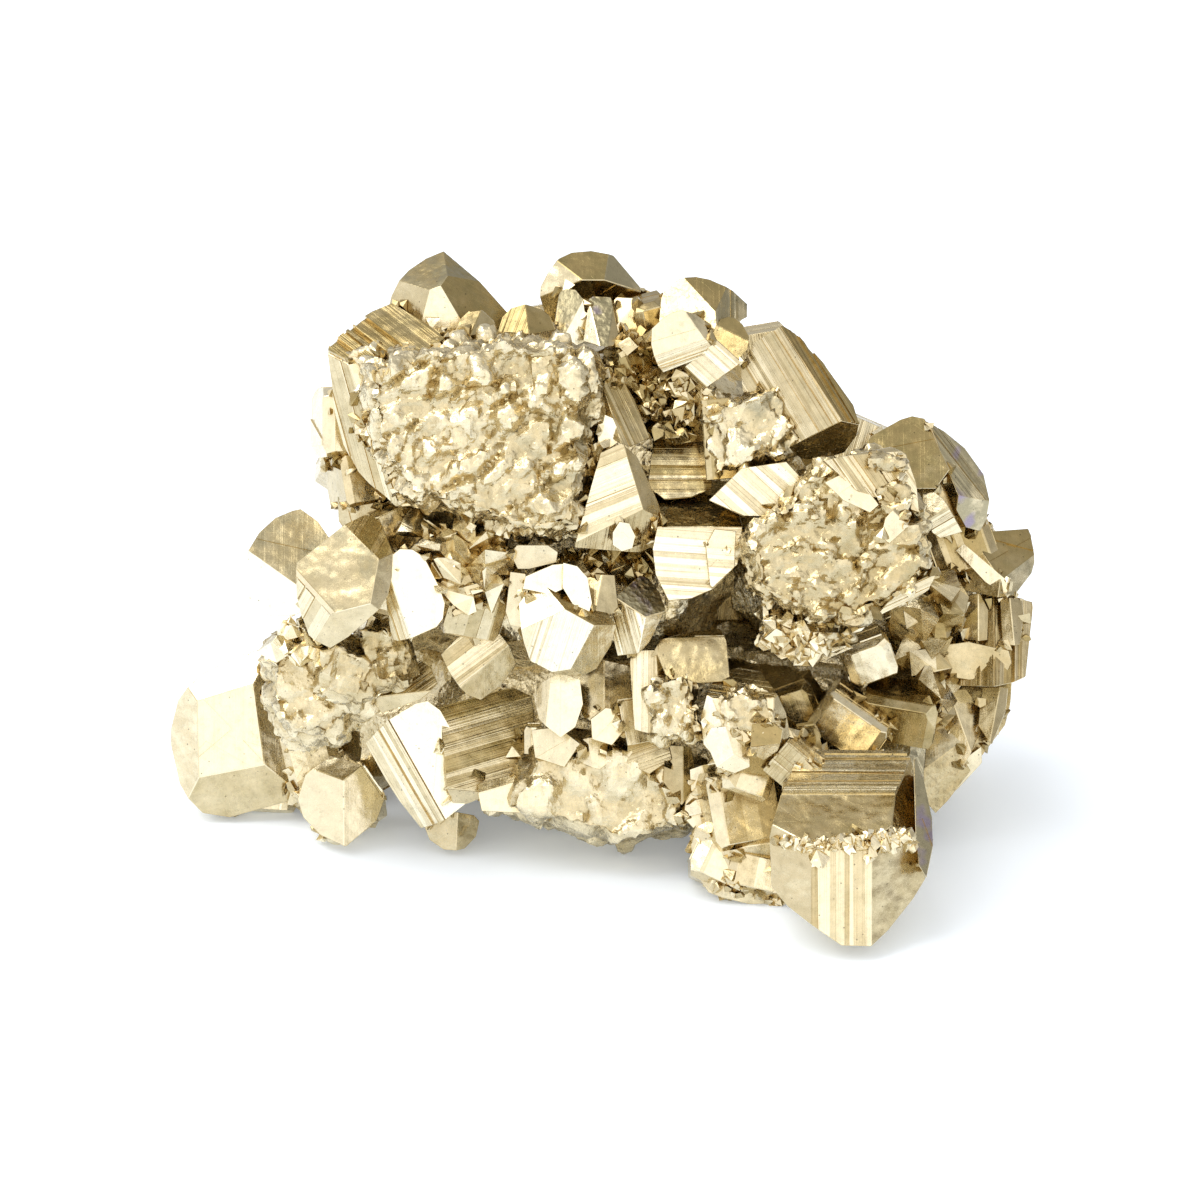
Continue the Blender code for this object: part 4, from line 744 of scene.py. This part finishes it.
faceted([(10, -11.5), (10.8, -9), (11.5, -7.5), (14, -6.7), (16.6, -7.4), (18.5, -11), (19, -13.5), (18, -15.6),
         (16.5, -17.8), (14.5, -17.2), (12.2, -16.6), (10.3, -14.5)],
        [flat(14, -9.8, -3.6, 0, 1.3, tone=0.7, along=-8, lines=6), flat(14, -9.8, -3.6, 0.02, 0.1, tone=0.2, broken=0.8),
         flat(12.3, -13, -3.9, -0.8, -0.2, tone=0.1), flat(16, -13.6, -3.9, 0.3, -0.5, tone=0.7),
         flat(17.3, -12, -3.8, 1, 0.1, tone=0.6)], back=10, taper=0.12, steps=3)
broken_mass((14.6, -11.6, -2.2), 5,
            [(11.2, -9), (14, -8), (17, -9.3), (18.7, -12), (17.8, -15), (15.5, -14.6), (13.5, -13), (11.2, -12.4)],
            seed=9, spacing=0.36, tone=(0.1, 0.3), green=(0, 0.1), scales=((2.2, 1.2, 0.8), (0.9, 1.2, 0.35)))
faceted([(10.4, -13.8), (11.2, -12.6), (13.4, -12.6), (14.8, -14), (14.9, -16.6), (13.4, -17.3), (11.6, -16.6)],
        [flat(12.6, -14.5, -4.4, -0.3, -0.1, tone=0), flat(13.4, -14.5, -4.4, 0.4, 0.1, tone=0.3),
         flat(12.6, -16, -4.2, 0, -0.5, tone=0.3)], back=4, steps=1)
faceted([(15, -12.4), (17, -12), (18.3, -13), (17.8, -15), (16.2, -16), (15, -15.2)],
        [flat(16.5, -14, -4.9, 0.2, 0.3, tone=0.9), flat(16.8, -14.6, -4.8, 0.3, -0.5, tone=0.4)], back=2, steps=1)
crystal((20.8, -14.0, 2), (2.5, 3, 3), (10, 10, 0), edge=0.3, tone=0.9)
crystal((19.8, -16.5, -1), (4.6, 4, 4.5), (-40, 20, 0), tone=0.5, lines={"z": ("y", 7, 0.12)})
crystal((14.5, -17.8, 1), (5, 4, 5), (-20, -10, 10), edge=0.3, tone=0.4)
broken_mass((0, -19.5, 13), 14,
            [(-8, -13.5), (-5, -12.5), (0, -12.5), (6, -13), (11, -16), (11.6, -20), (10.4, -24), (5, -24.7),
             (1.8, -25.3), (-2.5, -23.8), (-5.5, -22), (-10, -21.2), (-12.2, -21.5), (-10, -17)], seed=5, tone=(0.1, 0.25),
            green=(0, 0.1), scales=((4.2, 1.7, 1.3), (1.7, 1.4, 0.35)))
faceted([(-7, -13), (-4, -12.8), (-2, -14.5), (-3.5, -16.8), (-6.5, -16)],
        [flat(-4.5, -14.8, 6.2, -0.2, 0.1, tone=0.15)], back=12, steps=1)
faceted([(-2.5, -14), (1, -13.6), (2, -15.5), (0, -17), (-2.4, -16.4)],
        [flat(0, -15, 6.0, 0.1, 0.2, tone=0.3), flat(-1.4, -15, 6.1, -0.6, 0.1, tone=0.1)], back=12, steps=0)
faceted([(2.7, -14), (6.8, -13.7), (7.2, -16), (5, -17.5), (2.7, -16.5)],
        [flat(5, -15.5, 5.6, -0.1, 0.15, tone=0.5, along=20, lines=3, rise=0.05)], back=12, steps=0)
faceted([(6.5, -14.5), (9.2, -14.8), (9.8, -18.5), (8.2, -20.5), (6.4, -18.5)],
        [flat(8, -17, 5.2, -0.3, 0.1, tone=0.6), flat(8.6, -17, 5.2, 0.5, 0.1, tone=0.8)], back=12, steps=1)
faceted([(8.8, -17), (11.5, -16.2), (12.4, -21), (10.6, -24.2), (8.4, -22)],
        [flat(10.5, -20, 4.9, -0.25, 0.05, tone=0.15), flat(11, -19, 4.9, 0.3, 0.2, tone=0.3)], back=12, steps=1)
faceted([(-12.5, -18.5), (-8.5, -17.5), (-6.5, -19.5), (-8, -21.5), (-12, -21.3)],
        [flat(-9.5, -19.5, 8.6, 0, -0.1, tone=0.25), flat(-9.5, -18.4, 8.7, -0.2, 0.6, tone=0.4)], back=14, steps=1)
crystal((12.8, -26.3, 6), (7, 6, 7), (-25, -5, 0), edge=0.6, tone=0.3)
crystal((15.8, -27.3, 5), (7, 4.5, 6), (-12, 0, 0), edge=0.6, tone=0.3)
faceted([(9.1, -24.5), (9.7, -22.8), (11.5, -21.6), (14, -21.5), (17.5, -22), (18.5, -28), (19.5, -31), (17, -31.3),
         (14.5, -30.5), (11, -29.5), (9.6, -27.5)],
        [flat(13, -26, 2.4, -0.35, -0.1, tone=0.25), flat(13.6, -26, 2.4, 0.1, -0.2, tone=0.45, green=0.3),
         flat(13, -24.2, 2.5, 0, 0.5, tone=0.2)], back=8, steps=2)
crystal((14.2, -20.8, 5), (8, 8, 7), (10, 0, 15), edge=0.5, tone=0.2)

# ---- The cave on the right and the crystals on its floor ----
# A deep hollow between the lump above and the cube in front; its back wall is given the darkest tone, as painted
# shade.
faceted([(11, -2), (28, -2), (34, -6), (32, -14), (20, -15), (12, -10)],
        [flat(20, -8, 12, 1.2, 1.0, tone=1), flat(16, -8, 11, 0.3, 2.0, tone=1)], back=24, taper=0, steps=0)
crystal((27.0, -5.7, 8), (5, 4.5, 5), (20, 20, 0), edge=0.4, tone=0.2)
crystal((25.3, -12.3, 7), (7.5, 5, 6), (-35, 20, 0), edge=0.4, tone=0.4)
crystal((30.0, -11.2, 9), (8, 5, 6), (-10, 30, 0), edge=0.4, tone=0.8)
crystal((19.8, -10.5, 9), (4, 4, 4), (20, 10, 0), edge=0.3, tone=1)

# ---- The big cube at the front right ----
# Broad flats leave a narrow lined front face, its foot comes to a point, and a slanting ledge where its
# upper front edge broke off leads back to the lined band on top.
faceted([(16.8, -23.2), (17.2, -21.5), (19, -16.5), (20, -15), (30.5, -15.2), (31.2, -16), (33, -23),
         (32.9, -25), (32.2, -28), (30.5, -30.5), (28, -33.3), (26.8, -34.3), (23.8, -34.2), (22, -32.9),
         (19, -30.8), (17, -28.5)],
        [flat(20.8, -28, -11, -0.5, -0.08, tone=0.5, green=0, lined=0),
         flat(24, -28, -10.9, 0.05, -0.08, tone=0.25, lines=(0.1, 0.3, 0.36, 0.45, 0.6, 0.7, 0.9), rise=0.2),
         flat(26.8, -28, -10.8, 0.75, -0.08, tone=0.5, green=0, lined=0),
         flat(24, -24, -11.2, 0, 0.9, tone=0.78, green=0, lined=0),
         flat(24, -19.4, -7.1, 0, 1.4, tone=0.1, along=0, lines=15, rise=0.2),
         flat(29.2, -19.5, -7.3, 1.4, 0.7, tone=1, broken=0.6),
         flat(31.1, -20, -7.4, 2.5, 0.3, tone=0.5, green=0.7)], back=17, taper=0.1, steps=0)
faceted([(31.3, -15.6), (32.2, -18), (33, -22), (33, -25), (32.3, -27.5), (31.4, -26), (31.2, -22), (30.6, -17)],
        [flat(31.9, -21, -7.6, 0.8, 0.3, tone=0.4, green=1)], back=2, taper=0.1, steps=1)
rubble([(17.5, -24.0), (21, -25), (31, -24.4), (31, -23.0), (26, -23.4), (21, -24.2)], -10.9, 110, 0.8, tone=0.25,
       seed=12)

# ---- The mass behind and the crystals on the back ----
# What holds it all together: pyrite grown into itself, with rows of plain crystals on the back.
broken_mass((0, 18, 13), 18, [(-20, 8), (-22, 20), (-12, 27), (12, 26), (20, 20), (22, 10)], seed=6,
            spacing=1.2, tone=(0.3, 0.3), green=(0, 0), scales=((3.0, 1, 0.8),))
broken_mass((0, 3, 15), 18, [(-24, -4), (-24, 6), (-12, 12), (14, 12), (14, 2), (10, -6), (-4, -8)], seed=7,
            spacing=1.2, tone=(0.3, 0.3), green=(0, 0), scales=((3.0, 1, 0.8),))
broken_mass((28, 2, 23), 14, [(14, 14), (28, 14), (37, 6), (38, -12), (30, -18), (16, -10), (12, 4)], seed=8,
            spacing=1.2, tone=(0.3, 0.3), green=(0, 0), scales=((3.0, 1, 0.8),))
broken_mass((10, -12, 21), 14, [(-26, -12), (-20, -4), (14, -2), (32, -6), (32, -17), (16, -22), (-8, -21),
                                (-24, -18)], seed=9, spacing=1.2, tone=(0.3, 0.3), green=(0, 0), scales=((3.0, 1, 0.8),))
broken_mass((31, 9, 18), 10, [(22, 12), (30, 14), (37, 10), (37, 2), (30, 0), (20, 4)], seed=10, spacing=1.2,
            tone=(0.3, 0.3), green=(0, 0), scales=((3.0, 1, 0.8),))
HIDDEN_SEED = 7
hidden = random.Random(HIDDEN_SEED)
for up, back, rights in ((24, 17, (-17, -6, 5, 15)), (13, 24, (-22, -10, 1, 13, 23)),
                         (1, 30.15, (-19, -8, 4, 15, 27, 36)), (-14, 32, (-25, -14, -2, 10, 21, 31))):
    for right in rights:
        across = hidden.uniform(8, 11.5)
        size = [across * hidden.uniform(0.8, 1.1) for _ in range(3)]
        place = (right + hidden.uniform(-1.5, 1.5), up + hidden.uniform(-1.5, 1.5), back)
        turn = [hidden.uniform(-40, 40) for _ in range(3)]
        back_lines = {"-z": ("x", chance.randint(5, 11), 0.12), "x": ("y", chance.randint(3, 7), 0.12),
                      "-x": ("y", chance.randint(3, 7), 0.12), "y": ("z", chance.randint(3, 7), 0.12)}
        crystal(place, size, turn, edge=hidden.choice((0.0, 0.8, 1.3)), tone=chance.uniform(0.1, 0.6),
                lines=back_lines)

# ---- The small growth in the creases ----
# Wherever two crystals meet, smaller ones filled the corner between them.
def joined(name):
    """All the crystals made so far as one object."""
    bpy.ops.object.select_all(action="DESELECT")
    for piece in crystals:
        piece.select_set(True)
    bpy.context.view_layer.objects.active = crystals[0]
    bpy.ops.object.join()
    whole = bpy.context.object
    whole.name = whole.data.name = name
    return whole


specimen = joined("pyrite_specimen")
mesh = specimen.data
tree = BVHTree.FromPolygons([vert.co for vert in mesh.vertices], [face.vertices for face in mesh.polygons])
looks = [0.0] * (len(mesh.loops) * 4)
mesh.attributes["finish"].data.foreach_get("color", looks)
numbers = [0] * len(mesh.polygons)
mesh.attributes["number"].data.foreach_get("value", numbers)
areas = []
total = 0
for face in mesh.polygons:
    total += face.area if looks[face.loop_start * 4 + 2] < 0.7 else face.area * 0.3
    areas.append(total)
CREASE_REACH, CREASE_TRIES, CREASE_MOST, PROBES = 0.0011, 40000, 1200, 10
fill = random.Random(21)
small = bmesh.new()
placed = []
for _ in range(CREASE_TRIES):
    if len(placed) >= CREASE_MOST:
        break
    face = mesh.polygons[bisect.bisect(areas, fill.uniform(0, total))]
    point = face.center.lerp(mesh.vertices[fill.choice(face.vertices)].co, fill.random())
    above = point + face.normal * 0.00015
    outward = (above - Vector((0, 0, 0.03))).normalized()
    if tree.ray_cast(above, (face.normal + outward).normalized(), 0.02)[0] is not None:
        continue
    side = face.normal.orthogonal().normalized()
    near = 0
    for turn in range(PROBES):
        way = Matrix.Rotation(math.tau * turn / PROBES, 3, face.normal) @ side + face.normal * 0.25
        hit = tree.ray_cast(above, way.normalized(), CREASE_REACH)
        near += hit[0] is not None and numbers[hit[2]] != numbers[face.index]
    if near < 2:
        continue
    size = CREASE_REACH * fill.uniform(0.3, 1.1)
    turned = Quaternion([fill.gauss(0, 1) for _ in range(4)]).normalized().to_matrix().to_4x4()
    sides = Matrix.Diagonal((size, size * fill.uniform(0.6, 1), size * fill.uniform(0.6, 1), 1))
    tone = min(1, looks[face.loop_start * 4 + 1] + fill.uniform(-0.2, 0.4))
    placed.append((Matrix.Translation(point + face.normal * size * 0.1) @ turned @ sides, tone))
tones = []
for where, tone in placed:
    add_chip(small, fill, where, 1.2, corners=10)
    tones += [tone] * (len(small.faces) - len(tones))
bmesh.ops.recalc_face_normals(small, faces=small.faces)
bpy.ops.object.select_all(action="DESELECT")
bpy.ops.mesh.primitive_cube_add(size=1, location=(0, 0, 0))
growth = bpy.context.object
small.to_mesh(growth.data)
small.free()
mesh = growth.data
mesh.transform(Matrix.Scale(1 / MM, 4))


def growth_finish(face):
    side = face.normal.orthogonal()
    return side, side.cross(face.normal), (0.3, max(0, tones[face.index]), 0.2, 0.2)


write_finish(mesh, growth_finish)
mesh.transform(Matrix.Scale(MM, 4))
crystals = [specimen, growth]

# ---- The pyrite itself ----
# One metal all through: brassy and bright where clean, brown and olive where tarnished, dull where broken.
# Its colour also holds painted light: near-white as painted highlight, darker tones as painted shade.
pyrite = bpy.data.materials.new("pyrite")
pyrite.use_nodes = True
tree = pyrite.node_tree
surface = tree.nodes["Principled BSDF"]
surface.inputs["Metallic"].default_value = 1.0


def node(kind, *wires, **settings):
    """A shader node with its settings, and its inputs as values or wires, in order of (name, value)."""
    made = tree.nodes.new("ShaderNode" + kind)
    for name, value in settings.items():
        setattr(made, name, value)
    for socket, value in wires:
        if isinstance(value, bpy.types.NodeSocket):
            tree.links.new(value, made.inputs[socket])
        else:
            made.inputs[socket].default_value = value
    return made


def blend(kind, amount, first, second):
    made = node("Mix", ("Factor", amount), data_type="RGBA", blend_type=kind, clamp_factor=True)
    for socket, value in (("A_Color", first), ("B_Color", second)):
        wire = next(s for s in made.inputs if s.identifier == socket)
        if isinstance(value, bpy.types.NodeSocket):
            tree.links.new(value, wire)
        else:
            wire.default_value = (*value, 1)
    return next(s for s in made.outputs if s.identifier == "Result_Color")


def sums(operation, first, second, clamp=False):
    return node("Math", (0, first), (1, second), operation=operation, use_clamp=clamp).outputs[0]


def ramp(value, *stops):
    made = node("ValToRGB", ("Fac", value))
    made.color_ramp.elements[0].position, made.color_ramp.elements[0].color = stops[0][0], (*[stops[0][1]] * 3, 1)
    made.color_ramp.elements[1].position, made.color_ramp.elements[1].color = stops[-1][0], (*[stops[-1][1]] * 3, 1)
    for place, level in stops[1:-1]:
        made.color_ramp.elements.new(place).color = (level, level, level, 1)
    return made.outputs["Color"]


WHITE, CLEAN, TAN, AMBER = (0.98, 0.92, 0.72), (0.89, 0.79, 0.56), (0.74, 0.62, 0.39), (0.52, 0.38, 0.17)
# The crease colour among these is painted shade; the others are the pyrite's own colours.
LINE, CREASE_SHADE, PURPLE, OLIVE, GREY = (0.46, 0.36, 0.2), (0.78, 0.7, 0.54), (0.32, 0.26, 0.44), (0.28, 0.23, 0.10), (0.31, 0.28, 0.18)
place = node("Mapping", ("Vector", node("TexCoord").outputs["Object"]), ("Scale", (1000, 1000, 1000))).outputs[0]
grain = node("UVMap", uv_map="grain").outputs["UV"]
finish = node("Attribute", attribute_name="finish", attribute_type="GEOMETRY")
parts = node("SeparateColor", ("Color", finish.outputs["Color"]))
lined, tarnish_and_painted_light, broken = (parts.outputs[n] for n in range(3))
patchy = finish.outputs["Alpha"]

streaks = node("Mapping", ("Vector", grain), ("Scale", (1, 0.005, 1))).outputs[0]
coarse = node("TexNoise", ("Vector", streaks), ("Scale", 1.3), ("Detail", 3.0), noise_dimensions="2D").outputs[0]
fine = node("TexNoise", ("Vector", streaks), ("Scale", 6.0), ("Detail", 2.0), noise_dimensions="2D").outputs[0]
steps = ramp(coarse, (0.3, 0.0), (0.42, 0.25), (0.44, 0.5), (0.55, 0.55), (0.57, 0.9), (0.75, 1.0))
lined = sums("MULTIPLY", lined, lined)
lines_height = sums("MULTIPLY", sums("ADD", steps, sums("MULTIPLY", fine, 0.5)), lined)
terraces = node("TexVoronoi", ("Vector", grain), ("Scale", 0.5), distance="CHEBYCHEV",
                voronoi_dimensions="2D").outputs["Color"]
crumb = node("TexNoise", ("Vector", place), ("Scale", 1.1), ("Detail", 3.0), ("Roughness", 0.5)).outputs[0]
pepper = node("TexVoronoi", ("Vector", place), ("Scale", 1.7), feature="F1").outputs["Distance"]

bump_lines = node("Bump", ("Height", lines_height), ("Strength", 0.6), ("Distance", 0.00016))
bump_steps = node("Bump", ("Height", terraces), ("Strength", 0.25), ("Distance", 0.0001),
                  ("Normal", bump_lines.outputs[0]))
rough_height = sums("MULTIPLY", sums("ADD", crumb, sums("MULTIPLY", pepper, 0.4)), broken)
bump_break = node("Bump", ("Height", rough_height), ("Strength", 0.7), ("Distance", 0.0003),
                  ("Normal", bump_steps.outputs[0]))
micro = node("TexNoise", ("Vector", place), ("Scale", 4.0), ("Detail", 3.0)).outputs[0]
bump_micro = node("Bump", ("Height", micro), ("Strength", 0.2), ("Distance", 0.00005),
                  ("Normal", bump_break.outputs[0]))
wave = node("TexNoise", ("Vector", place), ("Scale", 0.3), ("Detail", 2.0)).outputs[0]
bump_wave = node("Bump", ("Height", wave), ("Strength", 0.5), ("Distance", 0.0006),
                 ("Normal", bump_micro.outputs[0]))
tree.links.new(bump_wave.outputs[0], surface.inputs["Normal"])

cloud = node("TexNoise", ("Vector", place), ("Scale", 0.22), ("Detail", 4.0), ("Roughness", 0.6)).outputs[0]
uneven = sums("MULTIPLY", sums("SUBTRACT", cloud, 0.5), sums("MULTIPLY", tarnish_and_painted_light, 1.0, clamp=True))
stain_and_painted_light = sums("ADD", tarnish_and_painted_light, uneven, clamp=True)
# Painted light over tarnish: the lowest tone gives near-white brass as painted highlight, and the highest tones give
# amber, partly tarnish and partly painted shade.
brassy = blend("MIX", ramp(stain_and_painted_light, (0.0, 0.0), (0.08, 1.0)), WHITE, CLEAN)
brassy = blend("MIX", ramp(stain_and_painted_light, (0.25, 0.0), (0.6, 1.0)), brassy, TAN)
brassy = blend("MIX", ramp(stain_and_painted_light, (0.6, 0.0), (0.95, 1.0)), brassy, AMBER)
olive_noise = node("TexNoise", ("Vector", place), ("Scale", 0.5), ("Detail", 5.0), ("Roughness", 0.7)).outputs[0]
olive_spots = ramp(sums("MULTIPLY", olive_noise, sums("ADD", tarnish_and_painted_light, 0.2)), (0.12, 0.0), (0.85, 0.85))
brassy = blend("MIX", olive_spots, brassy, OLIVE)
grey_noise = node("TexNoise", ("Vector", place), ("Scale", 0.33), ("Detail", 4.0), ("Roughness", 0.6)).outputs[0]
grey_spots = ramp(sums("MULTIPLY", grey_noise, sums("ADD", patchy, 0.45)), (0.44, 0.0), (0.6, 0.75))
brassy = blend("MIX", grey_spots, brassy, GREY)
film_noise = node("TexNoise", ("Vector", place), ("Scale", 0.45), ("Detail", 1.0)).outputs[0]
film = ramp(sums("MULTIPLY", film_noise, patchy), (0.5, 0.0), (0.62, 0.6))
brassy = blend("MIX", film, brassy, PURPLE)
groove = node("TexNoise", ("Vector", streaks), ("Scale", 2.1), ("Detail", 1.0), noise_dimensions="2D").outputs[0]
dark_lines = ramp(groove, (0.455, 1.0), (0.475, 0.1), (0.495, 0.0), (0.515, 1.0))
brassy = blend("MULTIPLY", sums("MULTIPLY", lined, 0.6), brassy, blend("MIX", dark_lines, LINE, (1, 1, 1)))
mottle_noise = node("TexNoise", ("Vector", place), ("Scale", 1.1), ("Detail", 5.0), ("Roughness", 0.7)).outputs[0]
brassy = blend("MULTIPLY", 0.33, brassy, ramp(mottle_noise, (0.3, 0.45), (0.45, 0.85), (0.6, 1.0)))
specks = node("TexVoronoi", ("Vector", place), ("Scale", 0.9)).outputs["Distance"]
brassy = blend("MULTIPLY", 0.8, brassy, ramp(specks, (0.05, 0.25), (0.09, 1.0)))
# Painted shade: ambient occlusion darkens the base colour towards a pale brown in creases, hollows and joins between
# crystals.
corners = node("AmbientOcclusion", ("Distance", 0.0018), samples=3, only_local=True).outputs["AO"]
brassy = blend("MULTIPLY", 1.0, brassy, blend("MIX", ramp(corners, (0.25, 0.0), (0.75, 1.0)), CREASE_SHADE, (1, 1, 1)))
tree.links.new(brassy, surface.inputs["Base Color"])
rough = sums("ADD", sums("MULTIPLY", broken, 0.06), ramp(micro, (0.3, 0.16), (0.7, 0.30)))
rough = sums("ADD", rough, sums("MULTIPLY", grey_spots, 0.1), clamp=True)
tree.links.new(rough, surface.inputs["Roughness"])

# ---- The specimen in one piece ----
# Everything grew together, so the crystals and lumps are one piece on the one body.
specimen = joined("pyrite_specimen")
bpy.ops.object.mode_set(mode="EDIT")
bpy.ops.mesh.select_all(action="SELECT")
bpy.ops.mesh.bisect(plane_co=(0, 0, 0), plane_no=(0, 0, 1), clear_inner=True, use_fill=True, threshold=1e-7)
bpy.ops.object.mode_set(mode="OBJECT")
specimen.data.materials.clear()
specimen.data.materials.append(pyrite)
print("TRIANGLES", sum(len(face.vertices) - 2 for face in specimen.data.polygons), "SMALL", len(placed))
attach(specimen, "root")
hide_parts("pyrite_cluster")

# ---- The floor, the lights and the camera ----
# A pale table in soft daylight from the front left.
FLOOR_SIZE = 6.0
bpy.ops.object.select_all(action="DESELECT")
bpy.ops.mesh.primitive_plane_add(size=FLOOR_SIZE, location=(0, 0, -0.00002))
floor = bpy.context.object
floor.name = "floor"
white = bpy.data.materials.new("white table")
white.use_nodes = True
white.node_tree.nodes["Principled BSDF"].inputs["Base Color"].default_value = (0.85, 0.9, 0.97, 1)
white.node_tree.nodes["Principled BSDF"].inputs["Roughness"].default_value = 0.9
white.node_tree.nodes["Principled BSDF"].inputs["Emission Color"].default_value = (0.86, 0.92, 1.0, 1)
white.node_tree.nodes["Principled BSDF"].inputs["Emission Strength"].default_value = 0.2
floor.data.materials.append(white)

world = bpy.data.worlds.new("room")
bpy.context.scene.world = world
world.use_nodes = True
tree = world.node_tree
toward = node("TexCoord").outputs["Generated"]
front = node("VectorMath", (0, toward), (1, (0.35, -0.85, 0.4)), operation="DOT_PRODUCT").outputs["Value"]
left = node("VectorMath", (0, toward), (1, (-0.8, -0.6, 0.1)), operation="DOT_PRODUCT").outputs["Value"]
front_level = node("MapRange", ("Value", front), ("From Min", 0.6), ("From Max", 0.95), ("To Min", 0.0),
                   ("To Max", 0.58), interpolation_type="SMOOTHSTEP").outputs["Result"]
left_level = node("MapRange", ("Value", left), ("From Min", -0.6), ("From Max", 0.9), ("To Min", 0.64),
                  ("To Max", 1.2)).outputs["Result"]
tree.links.new(sums("ADD", front_level, left_level), tree.nodes["Background"].inputs["Strength"])
tree.nodes["Background"].inputs["Color"].default_value = (1.0, 0.99, 0.97, 1)


def soft_light(name, place, size, watts, colour=(1, 1, 1)):
    light = bpy.data.lights.new(name, "AREA")
    light.shape = "RECTANGLE"
    light.size, light.size_y = size
    light.energy = watts
    light.color = colour
    lamp = bpy.data.objects.new(name, light)
    lamp.location = place
    lamp.rotation_euler = (Vector((0, 0, 0.03)) - Vector(place)).to_track_quat("-Z", "Y").to_euler()
    bpy.context.scene.collection.objects.link(lamp)


soft_light("overhead", (-0.7, -0.2, 1.5), (1.3, 1.3), 16)
bpy.context.scene.view_settings.view_transform = "Standard"

AIM = Vector((-0.0001, -0.00715, 0.0296))
AWAY = 1.0
eye = bpy.data.cameras.new("camera")
eye.lens = 300
eye.sensor_width = 36
eye.dof.use_dof = False
camera = bpy.data.objects.new("camera", eye)
lean = math.radians(LEAN)
camera.location = AIM + Vector((0, -AWAY * math.cos(lean), AWAY * math.sin(lean)))
camera.rotation_euler = (math.radians(90 - LEAN), 0, 0)
bpy.context.scene.collection.objects.link(camera)
bpy.context.scene.camera = camera
